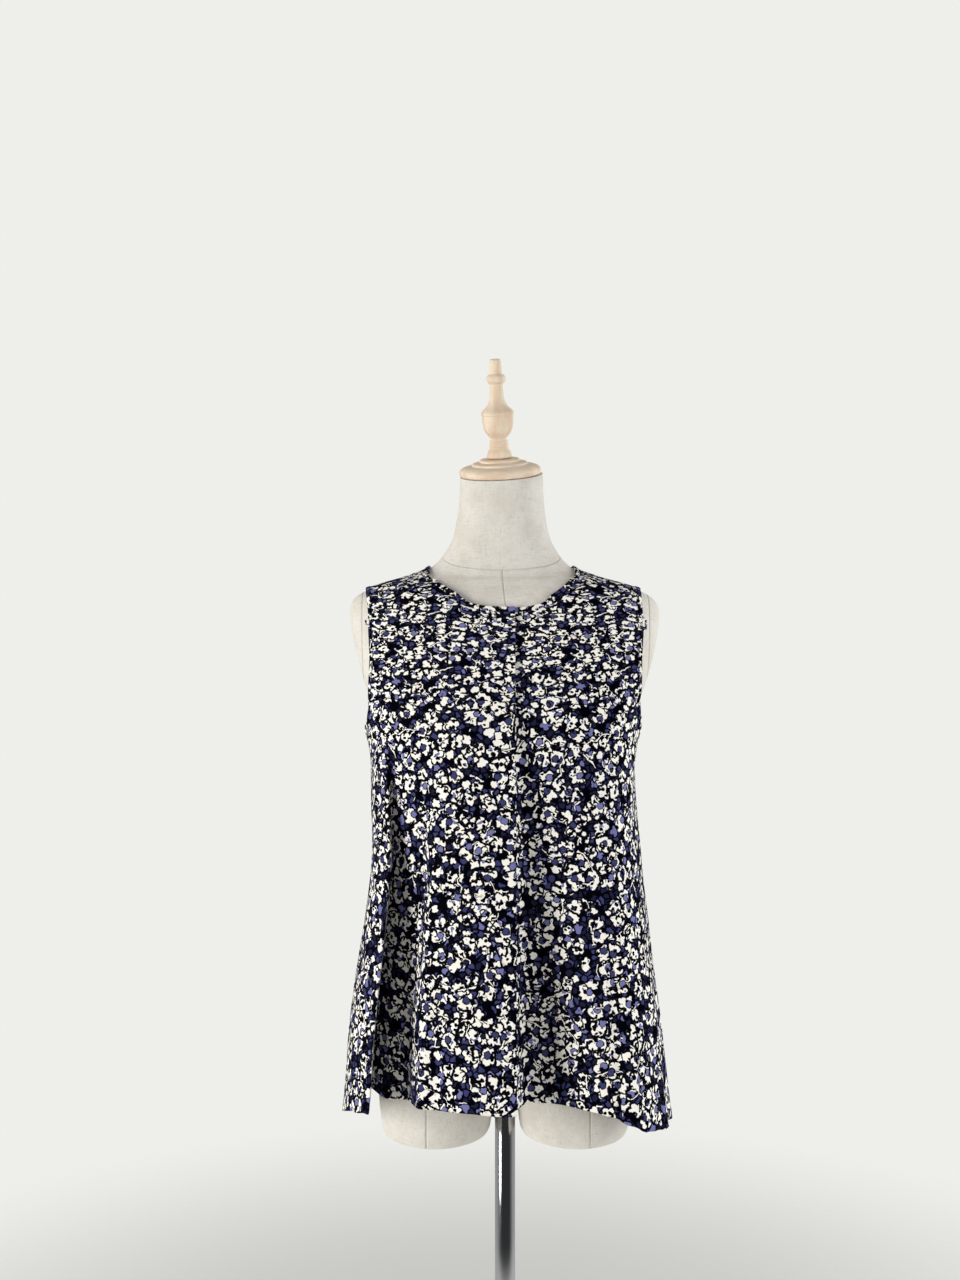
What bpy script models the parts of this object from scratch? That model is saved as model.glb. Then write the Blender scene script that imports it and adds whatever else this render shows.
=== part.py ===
# Sleeveless blouse resting on a limbless dress form that stands on a pole.
# Metres, +Z up, the front faces -Y, and "right" and "left" are the wearer's:
# the wearer's right is at -X. The origin is the middle of the foot's underside.

import math
from collections import namedtuple

import bmesh
import bpy
from mathutils import Euler, Matrix, Vector

# ---------------------------------------------------------------- driving dimensions

GAP = 0.0003                 # between pieces that touch
BINDING_GAP = 0.0013         # under a binding, where the cloth bends most
CLOTH_WALL = 0.0012
BINDING_WALL = 0.0010
BINDING_WIDTH = 0.0048
BINDING_END = 0.0006         # a neckline binding ends this far from the shoulder seam
CLOTH_EASE = 0.0027          # middle of the cloth above the form where it rests on it

SHOULDER_POINT_HEIGHT = 1.3825   # where neckline and shoulder seam meet
SHOULDER_TIP_HEIGHT = 1.3562     # outer end of the shoulder seam
FRONT_NECK_HEIGHT = 1.3305
BACK_NECK_LEVEL = 19.4           # row of TORSO_RINGS that the back neckline reaches
UNDERARM_HEIGHT = 1.171
NECKLINE_ACROSS = 2.95           # how full the neckline's oval is at its ends
NECKLINE_DOWN = 2.4              # and at its lowest place

LAP_EDGE = 0.0100            # the right front reaches this far past the middle
LAP_UNDER = -0.0150          # the left front starts this far behind it
LAP_LIFT = 0.0018            # the right front lies this much further out
LAP_CLEAR = 0.0040           # the left neckline binding starts this far past the lap
LAP_LIFT_TURNS = (14.0, 32.0)
RIGHT_EDGES = [LAP_EDGE]                          # columns of a front that keep to a place
LEFT_EDGES = [LAP_UNDER, -0.0060, 0.0040, LAP_EDGE + LAP_CLEAR]

POLE_RADIUS = 0.0125
POLE_TOP = 0.872
POLE_BORE_DEPTH = 0.15       # from the pole's top down past the form's underside
COLLAR_RADIUS = 0.021
COLLAR_HEIGHT = 0.034
FOOT_RADIUS = 0.150
FOOT_THICKNESS = 0.008

NECK_TOP_HEIGHT = 1.4965
NECK_SPARE = 0.008           # the neck is cut back by this much to its sloping top
NECK_AHEAD = 0.012           # the neck's top stands this much towards the front
CAP_TILT = math.radians(15.0)
CAP_LEAN = math.radians(-3.0)
CAP_SHIFT = -0.0015
TOP_SHIFT = -0.0045          # the form's upper part stands this much to its right
TOP_SHIFT_HEIGHTS = (1.31, 1.385)

RING_SEGMENTS = 36
TURNED_STEPS = 32
SHARP_ANGLE = math.radians(40.0)
SCREW_MERGE = 0.00001
BISECTION_STEPS = 40
NORMAL_TURN = 1.5            # degrees and rows to the neighbours that give a normal
NORMAL_LEVEL = 0.05
WIDEST_TURN = 70.0           # the fronts' straight edges lie well within this turn
NECKLINE_STEPS = 120         # pieces that the neckline is measured in
NECK_HINT = -0.5             # levels down from the neckline to a place inside the panel
ARMHOLE_HINT = 6.0           # degrees in from an armhole to a place inside the panel

TorsoRing = namedtuple("TorsoRing", "height reach front back roundness rise ahead")
TORSO_RINGS = [
    TorsoRing(0.7450, 0.100, 0.046, 0.056, 2.20, 0.00, 0.000),
    TorsoRing(0.7520, 0.128, 0.062, 0.076, 2.20, 0.00, 0.000),
    TorsoRing(0.7720, 0.151, 0.078, 0.098, 2.20, 0.00, 0.000),
    TorsoRing(0.8020, 0.165, 0.091, 0.114, 2.20, 0.00, 0.000),
    TorsoRing(0.8420, 0.167, 0.097, 0.117, 2.20, 0.00, 0.000),
    TorsoRing(0.8900, 0.157, 0.095, 0.107, 2.20, 0.00, 0.000),
    TorsoRing(0.9450, 0.136, 0.087, 0.088, 2.20, 0.00, 0.000),
    TorsoRing(1.0000, 0.119, 0.080, 0.075, 2.20, 0.00, 0.000),
    TorsoRing(1.0500, 0.124, 0.088, 0.077, 2.20, 0.00, 0.000),
    TorsoRing(1.1000, 0.137, 0.108, 0.086, 2.25, 0.00, 0.000),
    TorsoRing(1.1400, 0.145, 0.120, 0.092, 2.30, 0.00, 0.000),
    TorsoRing(1.1800, 0.153, 0.116, 0.096, 2.30, 0.00, 0.000),
    TorsoRing(1.2200, 0.166, 0.107, 0.098, 2.30, 0.00, 0.000),
    TorsoRing(1.2600, 0.179, 0.098, 0.098, 2.30, 0.00, 0.000),
    TorsoRing(1.3000, 0.188, 0.090, 0.094, 2.30, 0.00, 0.000),
    TorsoRing(1.3290, 0.191, 0.082, 0.088, 2.25, 0.00, 0.000),
    TorsoRing(1.3435, 0.186, 0.077, 0.082, 2.20, 0.00, 0.000),
    TorsoRing(1.3530, 0.173, 0.072, 0.077, 2.20, 0.01, 0.000),
    TorsoRing(1.3605, 0.153, 0.068, 0.073, 2.15, 0.03, 0.000),
    TorsoRing(1.3665, 0.132, 0.065, 0.070, 2.10, 0.06, 0.001),
    TorsoRing(1.3725, 0.112, 0.062, 0.067, 2.05, 0.10, 0.002),
    TorsoRing(1.3787, 0.0950, 0.058, 0.064, 2.00, 0.15, 0.003),
    TorsoRing(1.3875, 0.0815, 0.055, 0.061, 2.00, 0.20, 0.004),
    TorsoRing(1.4010, 0.0700, 0.052, 0.057, 2.00, 0.24, 0.005),
    TorsoRing(1.4200, 0.0600, 0.050, 0.054, 2.00, 0.26, 0.007),
    TorsoRing(1.4480, 0.0540, 0.049, 0.052, 2.00, 0.27, 0.009),
    TorsoRing(1.4760, 0.0515, 0.0485, 0.050, 2.00, 0.27, 0.011),
    TorsoRing(NECK_TOP_HEIGHT + NECK_SPARE, 0.0505, 0.048, 0.049, 2.00, 0.268, NECK_AHEAD),
]

ThighRing = namedtuple("ThighRing", "height reach depth")
THIGH_APART = 0.085          # each thigh stub's middle from the form's middle
THIGH_RINGS = [
    ThighRing(0.6880, 0.0590, 0.0560),
    ThighRing(0.6895, 0.0640, 0.0620),
    ThighRing(0.6960, 0.0675, 0.0680),
    ThighRing(0.7200, 0.0700, 0.0740),
    ThighRing(0.7600, 0.0715, 0.0780),
    ThighRing(0.8200, 0.0640, 0.0700),
]

# The cloth away from the form: half width on each side, depth at front and back.
ClothRing = namedtuple("ClothRing", "height right left front back roundness")
CLOTH_RINGS = [
    ClothRing(0.700, 0.1965, 0.2040, 0.1540, 0.1500, 2.40),
    ClothRing(0.770, 0.1910, 0.1955, 0.1480, 0.1440, 2.40),
    ClothRing(0.850, 0.1850, 0.1875, 0.1410, 0.1360, 2.40),
    ClothRing(0.940, 0.1730, 0.1765, 0.1355, 0.1260, 2.40),
    ClothRing(1.030, 0.1630, 0.1665, 0.1320, 0.1180, 2.40),
    ClothRing(1.100, 0.1645, 0.1605, 0.1305, 0.1140, 2.40),
    ClothRing(1.155, 0.1665, 0.1600, 0.1280, 0.1110, 2.38),
    ClothRing(1.185, 0.1715, 0.1660, 0.1225, 0.1090, 2.35),
    ClothRing(1.220, 0.1780, 0.1740, 0.1140, 0.1060, 2.32),
    ClothRing(1.260, 0.1870, 0.1850, 0.1030, 0.1025, 2.30),
    ClothRing(1.300, 0.1925, 0.1915, 0.0935, 0.0975, 2.30),
]
BELOW_FORM_STEP = 0.02       # height of one level under the form's lowest ring
FREE_BELOW = 1.225           # under this height the cloth follows CLOTH_RINGS alone
RESTS_ABOVE = 1.300          # over this height it follows the form alone

# Hem height by turn, in degrees from the middle of the front or back to the side.
HemPoint = namedtuple("HemPoint", "turn right_front left_front right_back left_back")
HEM = [
    HemPoint(-10.0, 0.7620, 0.7620, 0.7420, 0.7420),
    HemPoint(0.0, 0.7640, 0.7620, 0.7420, 0.7420),
    HemPoint(8.0, 0.7660, 0.7615, 0.7410, 0.7410),
    HemPoint(26.0, 0.7650, 0.7600, 0.7380, 0.7370),
    HemPoint(33.0, 0.7600, 0.7560, 0.7350, 0.7340),
    HemPoint(42.0, 0.7570, 0.7470, 0.7310, 0.7300),
    HemPoint(51.0, 0.7600, 0.7380, 0.7260, 0.7240),
    HemPoint(57.0, 0.7600, 0.7350, 0.7220, 0.7180),
    HemPoint(66.0, 0.7550, 0.7280, 0.7180, 0.7130),
    HemPoint(90.0, 0.7180, 0.7080, 0.7150, 0.7080),
]

# A fold runs from its top to the hem and grows as it falls. Turns are degrees from the
# middle of its panel: it starts, is full between two turns, and ends. A positive depth,
# at the hem, goes straight in towards the form and a negative one stands out. The lean,
# also at the hem, moves the cloth towards the side seam, or away from it if negative.
Fold = namedtuple("Fold", "piece side starts full_from full_to ends top depth growth lean")
FOLDS = [
    Fold("right_front", -1, -12.0, -11.0, 3.0, 24.0, 1.16, -0.011, 1.10, 0.0),
    Fold("right_front", -1, 26.5, 31.5, 50.5, 55.5, 1.18, 0.046, 0.85, 0.006),
    Fold("right_front", -1, 50.5, 55.5, 68.0, 89.0, 1.18, -0.056, 0.85, -0.007),
    Fold("right_front", -1, 60.0, 70.0, 74.0, 88.0, 1.18, 0.0, 0.85, 0.006),
    Fold("left_front", 1, -14.0, -13.0, -1.0, 4.5, 1.16, -0.011, 1.10, 0.0),
    Fold("left_front", 1, -1.0, 5.0, 13.0, 28.0, 1.22, 0.032, 0.80, 0.0),
    Fold("left_front", 1, 22.0, 29.0, 31.0, 40.0, 1.08, -0.004, 1.00, 0.0),
    Fold("left_front", 1, 24.0, 50.0, 56.0, 88.0, 1.18, -0.036, 0.80, -0.0036),
    Fold("back", -1, 8.0, 18.0, 21.0, 33.0, 1.20, 0.016, 1.0, 0.0),
    Fold("back", -1, 44.0, 54.0, 57.0, 70.0, 1.10, 0.013, 1.1, 0.0),
    Fold("back", 1, 4.0, 13.0, 16.0, 26.0, 1.14, -0.009, 1.0, 0.0),
    Fold("back", 1, 28.0, 39.0, 42.0, 55.0, 1.17, 0.019, 1.1, 0.0),
]
FOLD_FOOT = 0.72             # height at which a fold has its stated depth

# Columns of the panels: turns in degrees, the same at underarm and hem.
FRONT_TURNS = [4, 6, 8.5, 14, 20, 26, 29, 32, 38, 44.5, 50, 53, 56, 62, 69, 76, 83, 90]
NECK_COLUMNS_FRONT = 11      # of a front's columns, those that end on the neckline
BACK_TURNS = [8, 16, 24, 31, 38, 44, 50, 56, 62, 68, 75, 82, 87, 90]
NECK_COLUMNS_BACK = 7

# Rows of the panels from the underarm up to the shoulder tip, with how many degrees the
# armhole is cut in from the side at each, on the front and on the back.
UpperRow = namedtuple("UpperRow", "share front_cut back_cut")
UPPER_ROWS = [
    UpperRow(0.0, 0.0, 0.0),
    UpperRow(0.03, 4.5, 4.2),
    UpperRow(0.07, 11.5, 10.5),
    UpperRow(0.14, 20.5, 18.6),
    UpperRow(0.25, 27.4, 24.4),
    UpperRow(0.36, 30.7, 27.0),
    UpperRow(0.46, 32.2, 28.2),
    UpperRow(0.55, 33.1, 28.9),
    UpperRow(0.62, 33.5, 29.0),
    UpperRow(0.68, 33.0, 28.6),
    UpperRow(0.74, 31.6, 27.4),
    UpperRow(0.80, 29.3, 25.6),
    UpperRow(0.86, 25.5, 22.5),
    UpperRow(0.92, 20.3, 18.0),
    UpperRow(0.97, 11.8, 10.2),
    UpperRow(1.0, 0.0, 0.0),
]
UPPER_SHARES = [row.share for row in UPPER_ROWS]
LOWER_SHARES = [1.0, 0.9, 0.78, 0.66, 0.54, 0.42, 0.30, 0.20, 0.10]

# Turned profiles, measured up their own axis.
Turned = namedtuple("Turned", "along radius")
DISC_PROFILE = [
    Turned(0.0000, 0.0480),
    Turned(0.0011, 0.0494),
    Turned(0.0047, 0.0503),
    Turned(0.0079, 0.0495),
    Turned(0.0104, 0.0465),
    Turned(0.0119, 0.0420),
    Turned(0.0126, 0.0365),
    Turned(0.0128, 0.0345),
    Turned(0.0149, 0.0340),
    Turned(0.0160, 0.0320),
    Turned(0.0167, 0.0262),
    Turned(0.0171, 0.0250),
    Turned(0.0192, 0.0246),
    Turned(0.0203, 0.0228),
    Turned(0.0209, 0.0175),
]
DISC_HEIGHT = DISC_PROFILE[-1].along
FINIAL_PROFILE = [
    Turned(0.0000, 0.0155),
    Turned(0.0045, 0.0150),
    Turned(0.0082, 0.0138),
    Turned(0.0112, 0.0119),
    Turned(0.0125, 0.0118),
    Turned(0.0140, 0.0108),
    Turned(0.0158, 0.0118),
    Turned(0.0182, 0.0108),
    Turned(0.0201, 0.0116),
    Turned(0.0225, 0.0100),
    Turned(0.0246, 0.0104),
    Turned(0.0279, 0.0132),
    Turned(0.0344, 0.0174),
    Turned(0.0442, 0.0190),
    Turned(0.0502, 0.0193),
    Turned(0.0513, 0.0187),
    Turned(0.0523, 0.0197),
    Turned(0.0544, 0.0204),
    Turned(0.0574, 0.0185),
    Turned(0.0622, 0.0135),
    Turned(0.0683, 0.0100),
    Turned(0.0731, 0.0087),
    Turned(0.0887, 0.0079),
    Turned(0.0899, 0.0090),
    Turned(0.0923, 0.0114),
    Turned(0.0951, 0.0120),
    Turned(0.0981, 0.0112),
    Turned(0.1004, 0.0085),
    Turned(0.1010, 0.0076),
    Turned(0.1163, 0.0071),
    Turned(0.1183, 0.0058),
    Turned(0.1189, 0.0030),
]
FOOT_PROFILE = [
    Turned(0.0000, FOOT_RADIUS - 0.0020),
    Turned(0.0020, FOOT_RADIUS),
    Turned(0.0055, FOOT_RADIUS),
    Turned(FOOT_THICKNESS, FOOT_RADIUS - 0.0030),
]
COLLAR_PROFILE = [
    Turned(0.0000, COLLAR_RADIUS + 0.006),
    Turned(0.0040, COLLAR_RADIUS + 0.006),
    Turned(0.0065, COLLAR_RADIUS),
    Turned(COLLAR_HEIGHT - 0.003, COLLAR_RADIUS - 0.002),
    Turned(COLLAR_HEIGHT, COLLAR_RADIUS - 0.005),
]

# Colour, roughness and metallic value of each finish.
Finish = namedtuple("Finish", "colour roughness metallic")
FINISHES = {
    "printed_crepe": Finish((0.10, 0.11, 0.28, 1.0), 0.75, 0.0),
    "linen": Finish((0.80, 0.76, 0.67, 1.0), 0.9, 0.0),
    "beech": Finish((0.75, 0.57, 0.40, 1.0), 0.6, 0.0),
    "chrome": Finish((0.75, 0.75, 0.76, 1.0), 0.15, 1.0),
    "foot_metal": Finish((0.70, 0.70, 0.71, 1.0), 0.3, 1.0),
}


# ---------------------------------------------------------------- small helpers

def smooth_step(low, high, value):
    share = min(1.0, max(0.0, (value - low) / (high - low)))
    return share * share * (3.0 - 2.0 * share)


def spline_row(rows, level):
    """The row at a fractional index, on a Catmull-Rom curve through all of them."""
    last = len(rows) - 1
    level = min(max(level, 0.0), float(last))
    start = min(int(level), last - 1)
    share = level - start
    around = [rows[min(max(start + step, 0), last)] for step in (-1, 0, 1, 2)]
    values = []
    for before, this, after, beyond in zip(*around):
        bend = 2.0 * before - 5.0 * this + 4.0 * after - beyond
        twist = 3.0 * this - before - 3.0 * after + beyond
        slope = after - before
        values.append(this + 0.5 * share * (slope + share * (bend + share * twist)))
    return type(rows[0])(*values)


def level_at(rows, column, wanted):
    """The fractional index at which a rising column reaches a value."""
    low = 0.0
    high = float(len(rows) - 1)
    for _ in range(BISECTION_STEPS):
        middle = 0.5 * (low + high)
        if getattr(spline_row(rows, middle), column) < wanted:
            low = middle
        else:
            high = middle
    return 0.5 * (low + high)


def power_curve(value, roundness):
    """Sine or cosine bent so that an ellipse becomes a rounder, fuller oval."""
    return math.copysign(abs(value) ** (2.0 / roundness), value)


def eased_lookup(rows, key, column, value):
    """A column's value at this key, eased between the two rows around it."""
    for first, second in zip(rows, rows[1:]):
        if value <= getattr(second, key) or second is rows[-1]:
            break
    start = getattr(first, key)
    share = smooth_step(start, getattr(second, key), value)
    low = getattr(first, column)
    return low + share * (getattr(second, column) - low)


# ---------------------------------------------------------------- the form's surface

def top_shift(height):
    return TOP_SHIFT * smooth_step(*TOP_SHIFT_HEIGHTS, height)


def torso_point(turn, level, facing):
    """facing is -1 on the front and 1 on the back; turn is signed, in degrees."""
    ring = spline_row(TORSO_RINGS, level)
    angle = math.radians(turn)
    depth = ring.front if facing < 0 else ring.back
    if abs(turn) > 90.0:
        depth = ring.back if facing < 0 else ring.front
    across = ring.reach * power_curve(math.sin(angle), ring.roundness)
    along = facing * depth * power_curve(math.cos(angle), ring.roundness)
    height = ring.height + ring.rise * along
    return Vector((across + top_shift(ring.height), along - ring.ahead, height))


# ---------------------------------------------------------------- the cloth's surface

def free_cloth_point(turn, height, facing):
    level = level_at(CLOTH_RINGS, "height", height)
    ring = spline_row(CLOTH_RINGS, level)
    angle = math.radians(turn)
    depth = ring.front if facing < 0 else ring.back
    if abs(turn) > 90.0:
        depth = ring.back if facing < 0 else ring.front
    reach = ring.right if turn < 0 else ring.left
    across = reach * power_curve(math.sin(angle), ring.roundness)
    along = facing * depth * power_curve(math.cos(angle), ring.roundness)
    return Vector((across, along, height))


def surface_normal(surface, turn, level, facing):
    """Outward normal of a surface, from its neighbours on both sides."""
    after = surface(turn + NORMAL_TURN, level, facing)
    before = surface(turn - NORMAL_TURN, level, facing)
    above = surface(turn, level + NORMAL_LEVEL, facing)
    below = surface(turn, level - NORMAL_LEVEL, facing)
    return ((after - before).cross(above - below) * -facing).normalized()


def resting_point(turn, level, facing):
    normal = surface_normal(torso_point, turn, level, facing)
    return torso_point(turn, level, facing) + normal * CLOTH_EASE


def height_of(level):
    if level < 0.0:
        return TORSO_RINGS[0].height + level * BELOW_FORM_STEP
    return spline_row(TORSO_RINGS, level).height


def cloth_surface(turn, level, facing):
    height = height_of(level)
    resting = smooth_step(FREE_BELOW, RESTS_ABOVE, height)
    if resting <= 0.0:
        return free_cloth_point(turn, height, facing)
    if resting >= 1.0:
        return resting_point(turn, level, facing)
    free = free_cloth_point(turn, height, facing)
    return free.lerp(resting_point(turn, level, facing), resting)


def fold_shift(piece, turn, height, facing):
    shift = Vector((0.0, 0.0, 0.0))
    for fold in FOLDS:
        own_turn = fold.side * turn
        if fold.piece != piece or height >= fold.top:
            continue
        grown = ((fold.top - height) / (fold.top - FOLD_FOOT)) ** fold.growth
        opens = smooth_step(fold.starts, fold.full_from, own_turn)
        closes = smooth_step(fold.full_to, fold.ends, own_turn)
        full = grown * opens * (1.0 - closes)
        shift += Vector((fold.side * fold.lean, -facing * fold.depth, 0.0)) * full
    return shift


def cloth_point(piece, turn, level, facing, out=0.0):
    height = height_of(level)
    normal = surface_normal(cloth_surface, turn, level, facing)
    if piece == "right_front":
        out += LAP_LIFT * (1.0 - smooth_step(*LAP_LIFT_TURNS, -turn))
    point = cloth_surface(turn, level, facing) + normal * out
    point += fold_shift(piece, turn, height, facing)
    if math.isclose(abs(turn), 90.0):
        point.y = facing * 0.5 * GAP
    return point


# ---------------------------------------------------------------- cutting the panels

def turn_at(across, level):
    """The turn at which the front of the cloth is this far across."""
    low = -WIDEST_TURN
    high = WIDEST_TURN
    for _ in range(BISECTION_STEPS):
        middle = 0.5 * (low + high)
        if cloth_surface(middle, level, -1).x < across:
            low = middle
        else:
            high = middle
    return 0.5 * (low + high)


def torso_level(height):
    if height < TORSO_RINGS[0].height:
        return (height - TORSO_RINGS[0].height) / BELOW_FORM_STEP
    return level_at(TORSO_RINGS, "height", height)


def neckline_cell(angle, side, middle_level):
    """Turn and level on the neckline; angle runs from 0 at the middle to 90 degrees."""
    shoulder = torso_level(SHOULDER_POINT_HEIGHT)
    out = math.sin(math.radians(angle))
    across = spline_row(TORSO_RINGS, shoulder).reach * out
    rise = 1.0 - max(0.0, 1.0 - out ** NECKLINE_ACROSS) ** (1.0 / NECKLINE_DOWN)
    level = middle_level + (shoulder - middle_level) * rise
    ring = spline_row(TORSO_RINGS, level)
    share = min(1.0, across / ring.reach)
    turn = math.degrees(math.asin(share ** (0.5 * ring.roundness)))
    return (side * turn, level)


def neckline_angles(first, count, middle_level, facing):
    """Angles after the first, up to 90 degrees, evenly apart along the neckline."""
    tries = [first + (90.0 - first) * index / NECKLINE_STEPS for index in range(NECKLINE_STEPS + 1)]
    walked = [0.0]
    for start, end in zip(tries, tries[1:]):
        low = cloth_surface(*neckline_cell(start, 1, middle_level), facing)
        high = cloth_surface(*neckline_cell(end, 1, middle_level), facing)
        walked.append(walked[-1] + (high - low).length)
    angles = []
    for column in range(1, count + 1):
        wanted = walked[-1] * column / count
        index = next((place for place, far in enumerate(walked) if far >= wanted), NECKLINE_STEPS)
        share = (wanted - walked[index - 1]) / (walked[index] - walked[index - 1])
        angles.append(tries[index - 1] + share * (tries[index] - tries[index - 1]))
    return angles


def armhole_cells(side, column):
    under = torso_level(UNDERARM_HEIGHT)
    tip = torso_level(SHOULDER_TIP_HEIGHT)
    cells = []
    for row in UPPER_ROWS:
        level = under + (tip - under) * row.share
        cells.append((side * (90.0 - getattr(row, column)), level))
    return cells


def shoulder_cell(share, side):
    point = torso_level(SHOULDER_POINT_HEIGHT)
    tip = torso_level(SHOULDER_TIP_HEIGHT)
    return (side * 90.0, point + (tip - point) * share)


def blended_rows(bottom, top, first, last, shares_across, shares_up):
    """Rows of (turn, level) between four edges that share their corners."""
    rows = []
    for up, start, end in zip(shares_up, first, last):
        row = []
        for along, low, high in zip(shares_across, bottom, top):
            cell = []
            for axis in (0, 1):
                ruled_up = (1.0 - up) * low[axis] + up * high[axis]
                ruled_across = (1.0 - along) * start[axis] + along * end[axis]
                corners = (1.0 - up) * ((1.0 - along) * bottom[0][axis] + along * bottom[-1][axis])
                corners += up * ((1.0 - along) * top[0][axis] + along * top[-1][axis])
                cell.append(ruled_up + ruled_across - corners)
            row.append(tuple(cell))
        rows.append(row)
    return rows


def shares_of(values):
    return [(value - values[0]) / (values[-1] - values[0]) for value in values]


def hem_height(piece, turn):
    if piece == "back":
        column = "right_back" if turn < 0 else "left_back"
        return eased_lookup(HEM, "turn", column, abs(turn))
    side = -1 if piece == "right_front" else 1
    return eased_lookup(HEM, "turn", piece, side * turn)


def front_cells(piece, side, edges):
    """Rows of (turn, level), hem first, for a front whose first columns keep to edges."""
    under = torso_level(UNDERARM_HEIGHT)
    neck = torso_level(FRONT_NECK_HEIGHT)
    count = len(edges) + len(FRONT_TURNS)
    bottom = [(turn_at(edge, under), under) for edge in edges]
    bottom += [(side * turn, under) for turn in FRONT_TURNS]
    on_neck = NECK_COLUMNS_FRONT + len(edges) - 1
    top = [(turn_at(edge, neck), neck) for edge in edges]
    half_width = spline_row(TORSO_RINGS, torso_level(SHOULDER_POINT_HEIGHT)).reach
    first_angle = math.degrees(math.asin(max(0.0, side * edges[-1]) / half_width))
    for angle in neckline_angles(first_angle, on_neck - len(edges) + 1, neck, -1)[:-1]:
        top.append(neckline_cell(angle, side, neck))
    for column in range(on_neck, count):
        top.append(shoulder_cell((column - on_neck) / (count - 1 - on_neck), side))
    levels = [under + (neck - under) * share for share in UPPER_SHARES]
    first = [(turn_at(edges[0], level), level) for level in levels]
    last = armhole_cells(side, "front_cut")
    across = shares_of([abs(turn - bottom[0][0]) for turn, _ in bottom])
    upper = blended_rows(bottom, top, first, last, across, UPPER_SHARES)
    lower = []
    for share in LOWER_SHARES:
        row = []
        for column, (turn, _) in enumerate(bottom):
            hem = hem_height(piece, turn)
            level = torso_level(UNDERARM_HEIGHT + (hem - UNDERARM_HEIGHT) * share)
            if column < len(edges):
                turn = turn_at(edges[column], level)
            row.append((turn, level))
        lower.append(row)
    return lower + upper


def back_cells():
    under = torso_level(UNDERARM_HEIGHT)
    turns = [-turn for turn in reversed(BACK_TURNS)] + [0] + BACK_TURNS
    bottom = [(float(turn), under) for turn in turns]
    half = len(BACK_TURNS)
    angles = [0.0] + neckline_angles(0.0, NECK_COLUMNS_BACK, BACK_NECK_LEVEL, 1)
    top = []
    for index in range(-half, half + 1):
        side = -1 if index < 0 else 1
        if abs(index) <= NECK_COLUMNS_BACK:
            top.append(neckline_cell(angles[abs(index)], side, BACK_NECK_LEVEL))
        else:
            share = (abs(index) - NECK_COLUMNS_BACK) / (half - NECK_COLUMNS_BACK)
            top.append(shoulder_cell(share, side))
    first = armhole_cells(-1, "back_cut")
    last = armhole_cells(1, "back_cut")
    across = shares_of(turns)
    upper = blended_rows(bottom, top, first, last, across, UPPER_SHARES)
    lower = []
    for share in LOWER_SHARES:
        row = []
        for turn, _ in bottom:
            hem = hem_height("back", turn)
            row.append((turn, torso_level(UNDERARM_HEIGHT + (hem - UNDERARM_HEIGHT) * share)))
        lower.append(row)
    return lower + upper


def placed(piece, cells, facing, out=0.0):
    return [[cloth_point(piece, turn, level, facing, out) for turn, level in row] for row in cells]


# ---------------------------------------------------------------- making objects

def clear_scene():
    for old in list(bpy.data.objects):
        bpy.data.objects.remove(old, do_unlink=True)


def new_collection(name):
    collection = bpy.data.collections.new(name)
    bpy.context.scene.collection.children.link(collection)
    return collection


def finish_material(name):
    finish = FINISHES[name]
    material = bpy.data.materials.new(name)
    material.use_nodes = True
    shader = material.node_tree.nodes["Principled BSDF"]
    shader.inputs["Base Color"].default_value = finish.colour
    shader.inputs["Roughness"].default_value = finish.roughness
    shader.inputs["Metallic"].default_value = finish.metallic
    return material


def new_object(name, mesh, collection, finish):
    made = bpy.data.objects.new(name, mesh)
    collection.objects.link(made)
    mesh.materials.append(finish_material(finish))
    return made


def mesh_of(name, body):
    mesh = bpy.data.meshes.new(name)
    body.to_mesh(mesh)
    body.free()
    return mesh


def sheet_object(name, points, wall, collection, closed=False):
    """A wall of cloth around rows of points, made solid to both sides."""
    body = bmesh.new()
    rows = [[body.verts.new(point) for point in row] for row in points]
    for low, high in zip(rows, rows[1:]):
        pairs = list(zip(low, low[1:], high[1:], high))
        if closed:
            pairs.append((low[-1], low[0], high[0], high[-1]))
        for corners in pairs:
            body.faces.new(corners)
    bmesh.ops.triangulate(body, faces=body.faces, quad_method="SHORT_EDGE")
    bmesh.ops.recalc_face_normals(body, faces=body.faces)
    middle = sum((vert.co for vert in body.verts), Vector()) / len(body.verts)
    axis = Vector((0.0, 0.0, middle.z))
    facing_out = sum((face.normal.dot(face.calc_center_median() - axis) for face in body.faces))
    if facing_out < 0.0:
        bmesh.ops.reverse_faces(body, faces=body.faces)
    mesh = mesh_of(name, body)
    mesh.shade_smooth()
    made = new_object(name, mesh, collection, "printed_crepe")
    thick = made.modifiers.new("wall", "SOLIDIFY")
    thick.thickness = wall
    thick.offset = 0.0
    return made


def loft_mesh(name, rings):
    """A closed skin over a stack of rings, lowest first, with a flat end on each."""
    body = bmesh.new()
    stack = [[body.verts.new(point) for point in ring] for ring in rings]
    for low, high in zip(stack, stack[1:]):
        for index in range(len(low)):
            after = (index + 1) % len(low)
            body.faces.new((low[index], low[after], high[after], high[index]))
    body.faces.new(list(reversed(stack[0])))
    body.faces.new(stack[-1])
    bmesh.ops.recalc_face_normals(body, faces=body.faces)
    mesh = mesh_of(name, body)
    mesh.shade_smooth()
    return mesh


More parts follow.
